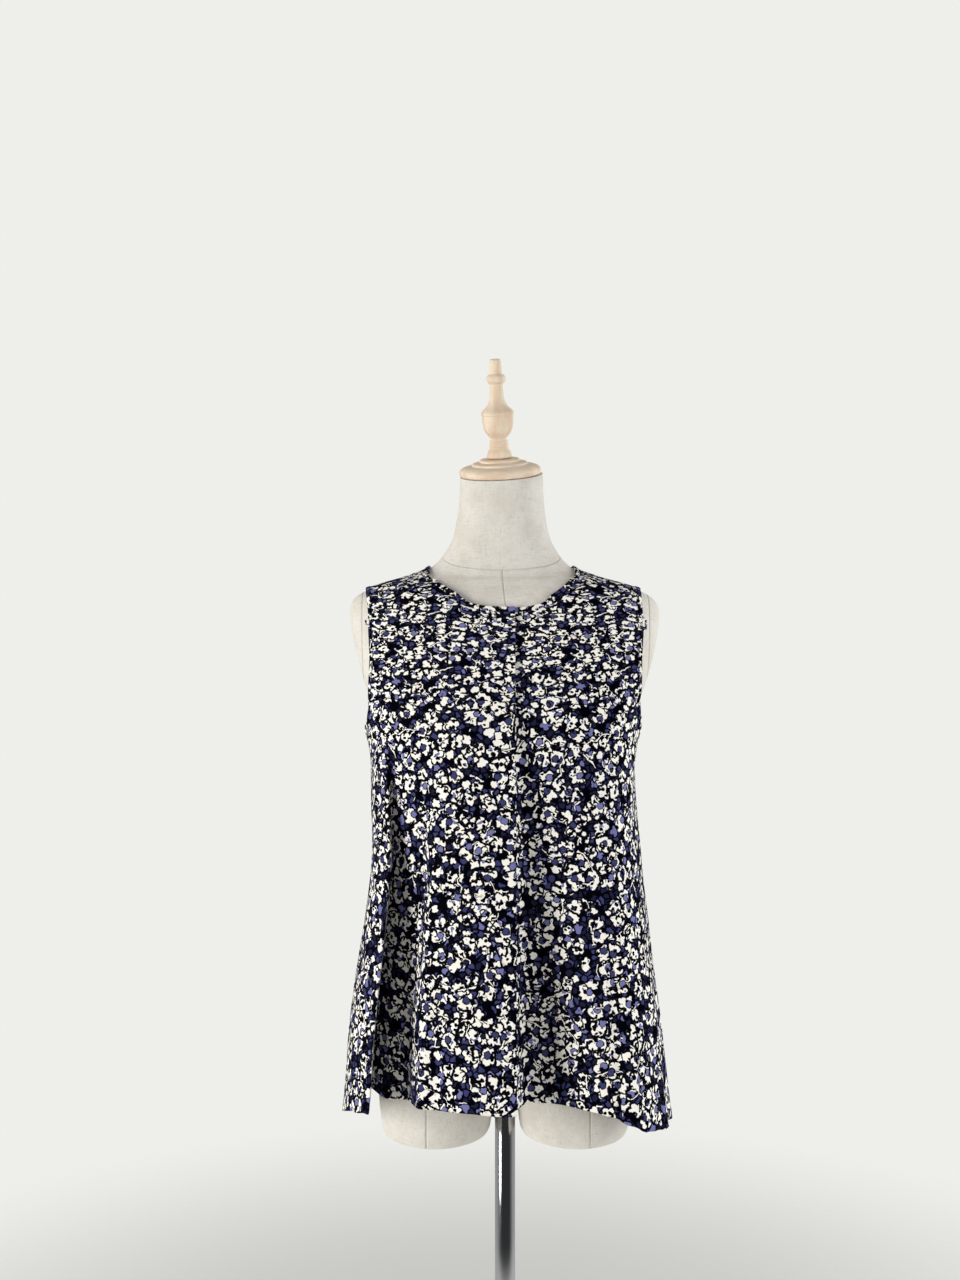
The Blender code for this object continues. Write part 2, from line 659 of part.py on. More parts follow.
def turned_object(name, profile, collection, finish, bore=0.0):
    """A profile given from the bottom up, turned about its own Z axis."""
    outline = [(row.radius, row.along) for row in reversed(profile)]
    foot = profile[0].along
    top = profile[-1].along
    ends = [(bore, top)] + outline + [(bore, foot)]
    body = bmesh.new()
    verts = [body.verts.new((radius, 0.0, along)) for radius, along in ends]
    for first, second in zip(verts, verts[1:]):
        body.edges.new((first, second))
    if bore > 0.0:
        body.edges.new((verts[-1], verts[0]))
    made = new_object(name, mesh_of(name, body), collection, finish)
    screw = made.modifiers.new("turning", "SCREW")
    screw.steps = TURNED_STEPS
    screw.render_steps = TURNED_STEPS
    screw.use_merge_vertices = True
    screw.merge_threshold = SCREW_MERGE
    screw.use_smooth_shade = True
    return made


def cutter(name, mesh, collection):
    made = bpy.data.objects.new(name, mesh)
    collection.objects.link(made)
    made.hide_render = True
    made.display_type = "WIRE"
    return made


def boolean(made, other, operation):
    step = made.modifiers.new(other.name, "BOOLEAN")
    step.operation = operation
    step.solver = "EXACT"
    step.object = other


# ---------------------------------------------------------------- the pieces

def panels(collection):
    right = placed("right_front", front_cells("right_front", -1, RIGHT_EDGES), -1)
    left = placed("left_front", front_cells("left_front", 1, LEFT_EDGES), -1)
    back = placed("back", back_cells(), 1)
    sheet_object("right_front", right, CLOTH_WALL, collection)
    sheet_object("left_front", left, CLOTH_WALL, collection)
    sheet_object("back_panel", back, CLOTH_WALL, collection)


def bound_edge(piece, cells, facing, hint_turn, hint_levels):
    """Places on a panel's edge, further places inside it, and the ways out from the cloth."""
    out = 0.5 * CLOTH_WALL + BINDING_GAP + 0.5 * BINDING_WALL
    edge = [cloth_point(piece, turn, level, facing, out) for turn, level in cells]
    hints = []
    for (turn, level), rise in zip(cells, hint_levels):
        side = math.copysign(hint_turn, turn)
        hints.append(cloth_point(piece, turn - side, level + rise, facing, out))
    for place, (turn, _) in zip(edge, cells):
        if math.isclose(abs(turn), 90.0):
            place.y = facing * BINDING_END
    normals = [surface_normal(cloth_surface, turn, level, facing) for turn, level in cells]
    return edge, hints, normals


def strip_rows(edge, hints, normals, closed=False):
    """The edge itself and a row a binding's width in from it, square to the edge."""
    count = len(edge)
    inner = []
    for index, (place, hint, normal) in enumerate(zip(edge, hints, normals)):
        before = edge[index - 1] if closed or index > 0 else place
        after = edge[(index + 1) % count] if closed or index < count - 1 else place
        across = normal.cross(after - before)
        if math.isclose(abs(place.y), BINDING_END, rel_tol=0.001):
            across.y = 0.0
        if across.dot(hint - place) < 0.0:
            across.negate()
        inner.append(place + across.normalized() * BINDING_WIDTH)
    return [inner, edge]


def neck_bindings(collection):
    """Narrow strips on the outside of the panels along the neckline."""
    first = len(BACK_TURNS) - NECK_COLUMNS_BACK
    last = len(BACK_TURNS) + NECK_COLUMNS_BACK
    right = front_cells("right_front", -1, RIGHT_EDGES)[-1][:NECK_COLUMNS_FRONT + 1]
    past_lap = len(LEFT_EDGES) - 1
    left = front_cells("left_front", 1, LEFT_EDGES)[-1][past_lap:past_lap + NECK_COLUMNS_FRONT + 1]
    strips = (
        ("neck_binding_right", "right_front", right, -1),
        ("neck_binding_left", "left_front", left, -1),
        ("neck_binding_back", "back", back_cells()[-1][first:last + 1], 1),
    )
    for name, piece, cells, facing in strips:
        down = [NECK_HINT] * len(cells)
        points = strip_rows(*bound_edge(piece, cells, facing, 0.0, down))
        sheet_object(name, points, BINDING_WALL, collection)


def armhole_bindings(collection):
    """A closed band round each armhole, up the front and down the back."""
    hint_levels = [share - 0.5 for share in UPPER_SHARES]
    sides = (("armhole_binding_right", "right_front", -1), ("armhole_binding_left", "left_front", 1))
    for name, panel, side in sides:
        front_cut = armhole_cells(side, "front_cut")
        back_cut = armhole_cells(side, "back_cut")
        front = bound_edge(panel, front_cut, -1, ARMHOLE_HINT, hint_levels)
        back = bound_edge("back", back_cut, 1, ARMHOLE_HINT, hint_levels)
        loops = []
        for up, down in zip(front, back):
            foot = up[0].lerp(down[0], 0.5)
            tip = up[-1].lerp(down[-1], 0.5)
            loops.append([foot] + up[1:-1] + [tip] + down[-2:0:-1])
        sheet_object(name, strip_rows(*loops, closed=True), BINDING_WALL, collection, closed=True)


def torso_rings():
    rings = []
    for level in range(len(TORSO_RINGS)):
        ring = []
        for index in range(RING_SEGMENTS):
            around = 360.0 * index / RING_SEGMENTS
            if around <= 90.0:
                ring.append(torso_point(around, level, -1))
            elif around <= 270.0:
                ring.append(torso_point(180.0 - around, level, 1))
            else:
                ring.append(torso_point(around - 360.0, level, -1))
        rings.append(ring)
    return rings


def thigh_rings(side):
    rings = []
    for row in THIGH_RINGS:
        ring = []
        for index in range(RING_SEGMENTS):
            angle = 2.0 * math.pi * index / RING_SEGMENTS
            across = side * THIGH_APART + row.reach * math.sin(angle)
            ring.append(Vector((across, -row.depth * math.cos(angle), row.height)))
        rings.append(ring)
    return rings


def pole_bore():
    """A blind hole in the form's underside, which the pole stands up into."""
    body = bmesh.new()
    radius = POLE_RADIUS + GAP
    bmesh.ops.create_cone(
        body, cap_ends=True, segments=TURNED_STEPS, radius1=radius, radius2=radius, depth=POLE_BORE_DEPTH
    )
    top = POLE_TOP + GAP
    bmesh.ops.translate(body, verts=body.verts, vec=(0.0, 0.0, top - 0.5 * POLE_BORE_DEPTH))
    return mesh_of("pole_bore", body)


def above_neck():
    """A box over the neck's sloping top."""
    body = bmesh.new()
    size = 4.0 * DISC_PROFILE[0].radius
    bmesh.ops.create_cube(body, size=size)
    bmesh.ops.translate(body, verts=body.verts, vec=(0.0, 0.0, 0.5 * size))
    bmesh.ops.transform(body, verts=body.verts, matrix=cap_frame())
    return mesh_of("above_neck", body)


def torso(collection, helpers):
    made = new_object("torso_form", loft_mesh("torso_form", torso_rings()), collection, "linen")
    for name, side in (("thigh_right", -1), ("thigh_left", 1)):
        boolean(made, cutter(name, loft_mesh(name, thigh_rings(side)), helpers), "UNION")
    boolean(made, cutter("pole_bore", pole_bore(), helpers), "DIFFERENCE")
    boolean(made, cutter("above_neck", above_neck(), helpers), "DIFFERENCE")


def cap_frame():
    """The middle of the neck's sloping top, with Z square to it."""
    foot = Vector((TOP_SHIFT + CAP_SHIFT, -NECK_AHEAD, NECK_TOP_HEIGHT))
    return Matrix.Translation(foot) @ Euler((CAP_TILT, CAP_LEAN, 0.0)).to_matrix().to_4x4()


def neck_cap(collection):
    """The wooden disc on the neck's sloping top, and the finial on it."""
    frame = bpy.data.objects.new("cap_axis", None)
    collection.objects.link(frame)
    frame.matrix_world = cap_frame() @ Matrix.Translation((0.0, 0.0, GAP))
    disc = turned_object("neck_disc", DISC_PROFILE, collection, "beech")
    disc.parent = frame
    finial = turned_object("finial", FINIAL_PROFILE, collection, "beech")
    finial.parent = frame
    finial.location.z = DISC_HEIGHT + GAP


def stand(collection):
    """The foot on the floor, and the pole and its collar on the foot."""
    turned_object("foot_plate", FOOT_PROFILE, collection, "foot_metal")
    on_foot = FOOT_THICKNESS + GAP
    collar = turned_object("pole_collar", COLLAR_PROFILE, collection, "chrome", POLE_RADIUS + GAP)
    collar.location.z = on_foot
    length = POLE_TOP - on_foot
    bpy.ops.mesh.primitive_cylinder_add(vertices=TURNED_STEPS, radius=POLE_RADIUS, depth=length)
    pole = bpy.context.object
    pole.name = "pole"
    pole.location.z = on_foot + 0.5 * length
    pole.data.materials.append(finish_material("chrome"))
    pole.data.shade_smooth()
    pole.data.set_sharp_from_angle(angle=SHARP_ANGLE)
    for holder in list(pole.users_collection):
        holder.objects.unlink(pole)
    collection.objects.link(pole)


def main():
    clear_scene()
    blouse = new_collection("sleeveless_blouse_on_form")
    helpers = new_collection("cutters")
    helpers.hide_render = True
    panels(blouse)
    neck_bindings(blouse)
    armhole_bindings(blouse)
    torso(blouse, helpers)
    neck_cap(blouse)
    stand(blouse)


main()
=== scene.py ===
import math

import bmesh
import bpy
import numpy as np
from mathutils import Euler, Matrix, Vector, noise


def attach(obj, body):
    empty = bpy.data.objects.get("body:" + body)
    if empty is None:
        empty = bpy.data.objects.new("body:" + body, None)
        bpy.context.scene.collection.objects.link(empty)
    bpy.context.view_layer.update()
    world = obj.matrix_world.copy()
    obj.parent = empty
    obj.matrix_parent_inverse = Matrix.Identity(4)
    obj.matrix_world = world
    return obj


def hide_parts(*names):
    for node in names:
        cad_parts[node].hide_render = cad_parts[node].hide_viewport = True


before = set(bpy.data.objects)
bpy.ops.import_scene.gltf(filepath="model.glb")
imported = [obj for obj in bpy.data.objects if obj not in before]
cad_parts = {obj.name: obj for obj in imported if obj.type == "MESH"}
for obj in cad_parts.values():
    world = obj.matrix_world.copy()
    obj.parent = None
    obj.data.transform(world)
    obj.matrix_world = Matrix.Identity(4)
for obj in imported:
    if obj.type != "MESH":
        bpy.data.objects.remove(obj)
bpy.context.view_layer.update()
print("frame loaded with", len(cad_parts), "nodes")


# Metres everywhere. The front faces -Y, and right and left are the wearer's, so right is at -X.
# A turn is counted in degrees from the middle of the front or of the back to the side, and a
# level is a row number, with fractions, in the form's table of rings.

form = {
    "rings": (  # height, reach, front, back, roundness, rise, ahead
        (0.7450, 0.1000, 0.0460, 0.056, 2.20, 0.00, 0.000),
        (0.7520, 0.1280, 0.0620, 0.076, 2.20, 0.00, 0.000),
        (0.7720, 0.1510, 0.0780, 0.098, 2.20, 0.00, 0.000),
        (0.8020, 0.1650, 0.0910, 0.114, 2.20, 0.00, 0.000),
        (0.8420, 0.1670, 0.0970, 0.117, 2.20, 0.00, 0.000),
        (0.8900, 0.1570, 0.0950, 0.107, 2.20, 0.00, 0.000),
        (0.9450, 0.1360, 0.0870, 0.088, 2.20, 0.00, 0.000),
        (1.0000, 0.1190, 0.0800, 0.075, 2.20, 0.00, 0.000),
        (1.0500, 0.1240, 0.0880, 0.077, 2.20, 0.00, 0.000),
        (1.1000, 0.1370, 0.1080, 0.086, 2.25, 0.00, 0.000),
        (1.1400, 0.1450, 0.1200, 0.092, 2.30, 0.00, 0.000),
        (1.1800, 0.1530, 0.1160, 0.096, 2.30, 0.00, 0.000),
        (1.2200, 0.1660, 0.1070, 0.098, 2.30, 0.00, 0.000),
        (1.2600, 0.1790, 0.0980, 0.098, 2.30, 0.00, 0.000),
        (1.3000, 0.1880, 0.0900, 0.094, 2.30, 0.00, 0.000),
        (1.3290, 0.1910, 0.0820, 0.088, 2.25, 0.00, 0.000),
        (1.3435, 0.1860, 0.0770, 0.082, 2.20, 0.00, 0.000),
        (1.3530, 0.1730, 0.0720, 0.077, 2.20, 0.01, 0.000),
        (1.3605, 0.1530, 0.0680, 0.073, 2.15, 0.03, 0.000),
        (1.3665, 0.1320, 0.0650, 0.070, 2.10, 0.06, 0.001),
        (1.3725, 0.1120, 0.0620, 0.067, 2.05, 0.10, 0.002),
        (1.3787, 0.0950, 0.0580, 0.064, 2.00, 0.15, 0.003),
        (1.3875, 0.0815, 0.0550, 0.061, 2.00, 0.20, 0.004),
        (1.4010, 0.0700, 0.0520, 0.057, 2.00, 0.24, 0.005),
        (1.4200, 0.0600, 0.0500, 0.054, 2.00, 0.26, 0.007),
        (1.4480, 0.0540, 0.0490, 0.052, 2.00, 0.27, 0.009),
        (1.4760, 0.0515, 0.0485, 0.050, 2.00, 0.27, 0.011),
        (1.5045, 0.0505, 0.0480, 0.049, 2.00, 0.268, 0.012),
    ),
    "topShift": -0.0045,
    "topShiftFrom": 1.31,
    "topShiftTo": 1.385,
    "around": 128,
    "up": 216,
    "thighApart": 0.085,
    "thighOutline": (  # reach, height
        (0.0000, 0.6880), (0.0520, 0.6880), (0.0600, 0.6886), (0.0646, 0.6908), (0.0666, 0.6950),
        (0.0678, 0.7020), (0.0700, 0.7200), (0.0712, 0.7400), (0.0715, 0.7600), (0.0690, 0.7900),
        (0.0640, 0.8200), (0.0000, 0.8200),
    ),
    "thighDepth": 1.07,  # depth over width
    "thighSteps": 96,
    "bore": 0.0128,
    "boreTop": 0.8723,
    "boreDepth": 0.2,
    "boreSteps": 64,
    "lowestLevel": 0.1,  # the form's own surface is read no lower than this
    "sharp": math.radians(38.0),
}
cap = {
    "neckTop": 1.4965,
    "ahead": 0.012,
    "shift": -0.0015,
    "tilt": math.radians(15.0),
    "lean": math.radians(-3.0),
    "gap": 0.0003,
    "steps": 64,
    "disc": (  # up the axis, radius
        (0.0000, 0.0470), (0.0004, 0.0480), (0.0011, 0.0492), (0.0026, 0.0500), (0.0047, 0.0503),
        (0.0068, 0.0500), (0.0086, 0.0490), (0.0104, 0.0465), (0.0116, 0.0430), (0.0122, 0.0395),
        (0.0126, 0.0365), (0.0127, 0.0348), (0.0132, 0.0345), (0.0148, 0.0341), (0.0155, 0.0334),
        (0.0160, 0.0318), (0.0165, 0.0288), (0.0167, 0.0262), (0.0168, 0.0252), (0.0173, 0.0250),
        (0.0191, 0.0247), (0.0198, 0.0241), (0.0203, 0.0228), (0.0207, 0.0200), (0.0209, 0.0175),
    ),
    "finial": (
        (0.0000, 0.0155), (0.0022, 0.0154), (0.0045, 0.0150), (0.0065, 0.0145), (0.0082, 0.0138),
        (0.0099, 0.0127), (0.0110, 0.0119), (0.0116, 0.0116), (0.0127, 0.0118), (0.0133, 0.0114),
        (0.0140, 0.0108), (0.0146, 0.0112), (0.0152, 0.0117), (0.0160, 0.0118), (0.0171, 0.0114),
        (0.0182, 0.0108), (0.0190, 0.0113), (0.0201, 0.0116), (0.0213, 0.0110), (0.0225, 0.0100),
        (0.0235, 0.0100), (0.0246, 0.0104), (0.0262, 0.0117), (0.0279, 0.0132), (0.0309, 0.0155),
        (0.0344, 0.0174), (0.0392, 0.0185), (0.0442, 0.0190), (0.0480, 0.0193), (0.0502, 0.0193),
        (0.0508, 0.0190), (0.0513, 0.0187), (0.0518, 0.0190), (0.0523, 0.0197), (0.0533, 0.0203),
        (0.0544, 0.0204), (0.0558, 0.0198), (0.0574, 0.0185), (0.0597, 0.0160), (0.0622, 0.0135),
        (0.0651, 0.0114), (0.0683, 0.0100), (0.0707, 0.0092), (0.0731, 0.0087), (0.0808, 0.0082),
        (0.0880, 0.0079), (0.0889, 0.0081), (0.0899, 0.0090), (0.0909, 0.0104), (0.0923, 0.0114),
        (0.0937, 0.0119), (0.0951, 0.0120), (0.0967, 0.0118), (0.0981, 0.0112), (0.0994, 0.0100),
        (0.1004, 0.0085), (0.1010, 0.0076), (0.1020, 0.0075), (0.1090, 0.0073), (0.1155, 0.0071),
        (0.1172, 0.0068), (0.1183, 0.0058), (0.1188, 0.0042), (0.1189, 0.0020),
    ),
}
cloth = {
    "rings": (  # height, right, left, front, back, roundness
        (0.700, 0.1965, 0.2040, 0.1540, 0.1500, 2.40),
        (0.770, 0.1910, 0.1955, 0.1480, 0.1440, 2.40),
        (0.850, 0.1850, 0.1875, 0.1410, 0.1360, 2.40),
        (0.940, 0.1730, 0.1765, 0.1355, 0.1260, 2.40),
        (1.030, 0.1630, 0.1665, 0.1320, 0.1180, 2.40),
        (1.100, 0.1645, 0.1605, 0.1305, 0.1140, 2.40),
        (1.155, 0.1665, 0.1600, 0.1280, 0.1110, 2.38),
        (1.185, 0.1715, 0.1660, 0.1225, 0.1090, 2.35),
        (1.220, 0.1780, 0.1740, 0.1140, 0.1060, 2.32),
        (1.260, 0.1870, 0.1850, 0.1030, 0.1025, 2.30),
        (1.300, 0.1925, 0.1915, 0.0935, 0.0975, 2.30),
    ),
    "belowStep": 0.02,
    "freeBelow": 1.225,
    "restsAbove": 1.300,
    "ease": 0.0026,
    "wall": 0.0010,
    "seamGap": 0.0003,
    "seamDip": 0.0009,
    "seamDipTurn": 3.0,
    "underarm": 1.171,
    "shoulderPoint": 1.3825,
    "shoulderTip": 1.3562,
    "frontNeck": 1.3305,
    "backNeckLevel": 19.4,
    "neckAcross": (3.2, 2.95),  # how full the neckline's oval is at its right and left ends
    "neckDown": 2.4,  # and at its lowest place
    "armholeShares": (0.0, 0.053, 0.109, 0.195, 0.335, 0.485, 0.635, 0.786, 0.936, 1.0),
    "frontArmholeCut": (0.0, 12.0, 19.0, 25.0, 30.0, 32.5, 33.5, 30.0, 19.0, 0.0),  # degrees
    "backArmholeCut": (0.0, 11.0, 17.5, 22.5, 26.5, 28.5, 29.0, 26.0, 17.0, 0.0),
    "lapEdge": 0.0100,
    "lapUnder": -0.0150,
    "lapLift": 0.0040,  # how far the lap stands out, fading between the next two turns
    "lapLiftFrom": 14.0,
    "lapLiftTo": 32.0,
    "frontColumns": 112,
    "backColumns": 176,
    "neckShare": 0.5,  # of a front's columns, or of half the back's, those that end on the neckline
    "neckTurn": 50.0,  # and how far round they reach at the underarm
    "columnsFrom": 0.82,  # height at which the columns are spread evenly over the folds
    "lowerRows": 124,
    "upperRows": 60,
    "foldFoot": 0.72,
    "hemTurnUp": 0.0125,
    "hemStep": 0.0005,
    "hemSoft": 0.0015,
    "edgeHold": 4,  # how soon the columns leave the straight front edge
}
cloth["hem"] = {  # turn, then the height of each piece's hem there
    "turn": (-10.0, 0.0, 8.0, 26.0, 33.0, 42.0, 51.0, 57.0, 66.0, 90.0),
    "rightFront": (0.762, 0.764, 0.766, 0.764, 0.756, 0.754, 0.760, 0.760, 0.755, 0.718),
    "leftFront": (0.762, 0.762, 0.7615, 0.760, 0.756, 0.747, 0.738, 0.735, 0.728, 0.708),
    "rightBack": (0.742, 0.742, 0.741, 0.738, 0.735, 0.731, 0.726, 0.722, 0.718, 0.715),
    "leftBack": (0.742, 0.742, 0.741, 0.737, 0.734, 0.730, 0.724, 0.718, 0.713, 0.708),
}
# A fold opens between two turns, is full, closes again, and grows from its top to the hem.
# Its depth is how far straight in it goes at the hem, and less than nothing stands out. Its
# lean is how far it also moves the cloth to the side seam, or away from it if less than nothing.
cloth["folds"] = (  # piece, side, opens, full from, full to, closes, top, depth, growth, lean
    ("rightFront", -1, -12.0, -11.0, 3.0, 24.0, 1.16, -0.011, 1.1, 0.0),
    ("rightFront", -1, 26.5, 31.5, 50.5, 55.5, 1.18, 0.046, 0.85, 0.006),
    ("rightFront", -1, 50.5, 55.5, 68.0, 89.0, 1.18, -0.056, 0.85, -0.007),
    ("rightFront", -1, 60.0, 70.0, 74.0, 88.0, 1.18, 0.0, 0.85, 0.006),
    ("leftFront", 1, -14.0, -13.0, -1.0, 4.5, 1.16, -0.011, 1.1, 0.0),
    ("leftFront", 1, -1.0, 5.0, 13.0, 28.0, 1.22, 0.032, 0.8, 0.0),
    ("leftFront", 1, -1.5, 3.0, 6.0, 15.0, 1.20, 0.007, 0.8, 0.0),
    ("leftFront", 1, 22.0, 29.0, 31.0, 40.0, 1.08, -0.004, 1.0, 0.0),
    ("leftFront", 1, 24.0, 50.0, 56.0, 88.0, 1.18, -0.036, 0.8, -0.0036),
    ("back", -1, 8.0, 18.0, 21.0, 33.0, 1.20, 0.016, 1.0, 0.0),
    ("back", -1, 44.0, 54.0, 57.0, 70.0, 1.10, 0.013, 1.1, 0.0),
    ("back", 1, 4.0, 13.0, 16.0, 26.0, 1.14, -0.009, 1.0, 0.0),
    ("back", 1, 28.0, 39.0, 42.0, 55.0, 1.17, 0.019, 1.1, 0.0),
)
fineness = {  # how closely a surface or a curve is tried where a place on it is looked for
    "turnStep": 1.5,
    "levelStep": 0.05,
    "levels": 6000,
    "columns": 800,
    "neck": 400,
    "ladder": 300,
    "ladderPast": 0.001,
    "widestTurn": 70.0,
    "halvings": 30,
    "merge": 0.00001,
    "formMerge": 0.00002,
}


# the two surfaces

def smoothStep(low, high, value):
    share = np.clip((value - low) / (high - low), 0.0, 1.0)
    return share * share * (3.0 - 2.0 * share)


def bent(value, roundness):
    return np.sign(value) * np.abs(value) ** (2.0 / roundness)


def stepsOf(points):
    return np.linalg.norm(np.diff(points, axis=0), axis=1)


def runningSum(steps):
    return np.concatenate([[0.0], np.cumsum(steps)])


def rowsAt(rows, level):  # every column at fractional row numbers, on a smooth curve
    table = np.array(rows, float)
    last = len(table) - 1
    level = np.clip(level, 0.0, last)
    start = np.minimum(level.astype(int), last - 1)
    share = (level - start)[:, None]
    before, this, after, beyond = (table[np.clip(start + step, 0, last)] for step in (-1, 0, 1, 2))
    bend = 2.0 * before - 5.0 * this + 4.0 * after - beyond
    twist = 3.0 * this - before - 3.0 * after + beyond
    return (this + 0.5 * share * (after - before + share * (bend + share * twist))).T


def levelsOf(rows, heights):
    tries = np.linspace(0.0, len(rows) - 1, fineness["levels"])
    return np.interp(heights, rowsAt(rows, tries)[0], tries)


def formLevel(height):
    height = np.asarray(height, float)
    lowest = form["rings"][0][0]
    below = (height - lowest) / cloth["belowStep"]
    return np.where(height < lowest, below, levelsOf(form["rings"], height))


def heightAt(level):
    lowest = form["rings"][0][0]
    return np.where(level < 0.0, lowest + level * cloth["belowStep"], rowsAt(form["rings"], level)[0])


def ovalAt(turn, facing, reach, front, back, roundness):
    inFront = (np.abs(turn) <= 90.0) == (facing < 0)
    depth = np.where(inFront, front, back)
    across = reach * bent(np.sin(np.radians(turn)), roundness)
    return across, facing * depth * bent(np.cos(np.radians(turn)), roundness)


def formPoints(turn, level, facing):
    height, reach, front, back, roundness, rise, ahead = rowsAt(form["rings"], level)
    across, along = ovalAt(turn, facing, reach, front, back, roundness)
    across = across + form["topShift"] * smoothStep(form["topShiftFrom"], form["topShiftTo"], height)
    return np.stack([across, along - ahead, height + rise * along], axis=1)


def freePoints(turn, height, facing):
    _, right, left, front, back, roundness = rowsAt(cloth["rings"], levelsOf(cloth["rings"], height))
    across, along = ovalAt(turn, facing, np.where(turn < 0.0, right, left), front, back, roundness)
    return np.stack([across, along, height], axis=1)


def normalsOf(surface, turn, level, facing):
    aside = fineness["turnStep"]
    above = fineness["levelStep"]
    across = surface(turn + aside, level, facing) - surface(turn - aside, level, facing)
    up = surface(turn, level + above, facing) - surface(turn, level - above, facing)
    normal = np.cross(across, up) * -facing
    return normal / np.linalg.norm(normal, axis=1)[:, None]


def clothSurface(turn, level, facing):
    height = heightAt(level)
    resting = smoothStep(cloth["freeBelow"], cloth["restsAbove"], height)[:, None]
    above = np.maximum(level, form["lowestLevel"])
    onForm = formPoints(turn, above, facing) + normalsOf(formPoints, turn, above, facing) * cloth["ease"]
    return freePoints(turn, height, facing) * (1.0 - resting) + onForm * resting


def foldShift(piece, turn, height, facing):
    shift = np.zeros((len(turn), 3))
    for name, side, opens, fullFrom, fullTo, closes, top, depth, growth, lean in cloth["folds"]:
        if name != piece:
            continue
        grown = np.clip((top - height) / (top - cloth["foldFoot"]), 0.0, None) ** growth
        shape = smoothStep(opens, fullFrom, side * turn) * (1.0 - smoothStep(fullTo, closes, side * turn))
        shift[:, 0] += side * lean * grown * shape
        shift[:, 1] -= facing * depth * grown * shape
    return shift


# Smaller creases, placed one by one: each runs from one turn and height to another, fades in
# and out over a share of its length, and is a trough, or a ridge where its depth is negative.
# One that fades out over less than runsOn doesn't fade out, so that it runs on past the hem.
creases = {
    "metresPerTurn": 0.0030,
    "runsOn": 0.05,
    "rightFront": (  # from turn, height, to turn, height, width, depth, fades in, fades out
        (-88.0, 1.155, -52.0, 1.085, 0.012, 0.0022, 0.25, 0.75),
        (-87.0, 1.135, -60.0, 1.045, 0.010, 0.0017, 0.30, 0.70),
        (-84.0, 1.175, -44.0, 1.135, 0.011, -0.0014, 0.30, 0.65),
        (-74.0, 1.235, -58.0, 1.180, 0.009, 0.0010, 0.40, 0.60),
        (-30.0, 1.060, -27.0, 0.770, 0.013, -0.0030, 0.70, 0.02),
        (-22.0, 0.960, -20.0, 0.770, 0.010, 0.0018, 0.70, 0.02),
        (-13.0, 1.100, -12.0, 0.860, 0.010, 0.0012, 0.60, 0.40),
        (-41.0, 0.980, -40.0, 0.775, 0.008, -0.0032, 0.60, 0.02),
        (-69.0, 0.900, -68.0, 0.720, 0.009, 0.0026, 0.60, 0.02),
        (-79.0, 1.020, -80.0, 0.715, 0.010, -0.0022, 0.50, 0.02),
        (-36.0, 1.110, -22.0, 1.050, 0.014, 0.0012, 0.50, 0.50),
        (-8.0, 1.290, -34.0, 1.262, 0.010, 0.0006, 0.50, 0.50),
    ),
    "leftFront": (
        (88.0, 1.155, 56.0, 1.075, 0.012, 0.0024, 0.25, 0.75),
        (86.0, 1.130, 64.0, 1.030, 0.010, 0.0016, 0.30, 0.70),
        (85.0, 1.172, 46.0, 1.128, 0.011, -0.0015, 0.30, 0.65),
        (72.0, 1.240, 55.0, 1.190, 0.009, 0.0010, 0.40, 0.60),
        (38.0, 1.000, 39.0, 0.740, 0.008, 0.0034, 0.50, 0.02),
        (44.0, 0.930, 45.0, 0.730, 0.009, -0.0026, 0.60, 0.02),
        (20.0, 1.120, 19.0, 0.770, 0.012, -0.0026, 0.60, 0.02),
        (12.0, 1.050, 11.0, 0.770, 0.008, 0.0016, 0.60, 0.02),
        (66.0, 0.960, 67.0, 0.710, 0.010, -0.0030, 0.60, 0.02),
        (76.0, 1.040, 77.0, 0.708, 0.010, 0.0028, 0.50, 0.02),
        (84.0, 0.900, 83.0, 0.708, 0.007, -0.0016, 0.60, 0.02),
        (30.0, 1.120, 16.0, 1.060, 0.014, 0.0012, 0.50, 0.50),
    ),
    "back": (
        (-88.0, 1.150, -50.0, 1.060, 0.012, 0.0024, 0.25, 0.75),
        (-86.0, 1.120, -62.0, 1.010, 0.010, 0.0018, 0.30, 0.70),
        (88.0, 1.150, 48.0, 1.070, 0.012, 0.0022, 0.25, 0.75),
        (85.0, 1.125, 60.0, 1.030, 0.010, 0.0018, 0.30, 0.70),
        (-30.0, 1.290, -24.0, 1.140, 0.012, 0.0014, 0.50, 0.50),
        (27.0, 1.300, 22.0, 1.120, 0.012, 0.0013, 0.50, 0.50),
        (-3.0, 1.180, -2.0, 0.745, 0.013, 0.0032, 0.60, 0.02),
        (7.0, 1.060, 6.0, 0.745, 0.010, -0.0024, 0.60, 0.02),
        (-13.0, 1.080, -12.0, 0.740, 0.010, -0.0026, 0.60, 0.02),
        (33.0, 1.100, 32.0, 0.735, 0.009, -0.0030, 0.60, 0.02),
        (-38.0, 1.060, -38.0, 0.735, 0.012, -0.0040, 0.60, 0.02),
        (64.0, 1.050, 65.0, 0.715, 0.012, 0.0040, 0.50, 0.02),
        (74.0, 0.980, 75.0, 0.710, 0.009, -0.0026, 0.60, 0.02),
        (-76.0, 1.000, -77.0, 0.715, 0.010, -0.0030, 0.60, 0.02),
        (-10.0, 1.345, 12.0, 1.338, 0.008, 0.0006, 0.50, 0.50),
        (-40.0, 1.020, 36.0, 1.008, 0.014, 0.0012, 0.40, 0.40),
    ),
    "unevenness": 0.0007,
    "unevenEvery": 0.050,
    "calmShare": 0.25,  # of the unevenness, what is left where the cloth rests on the form
}


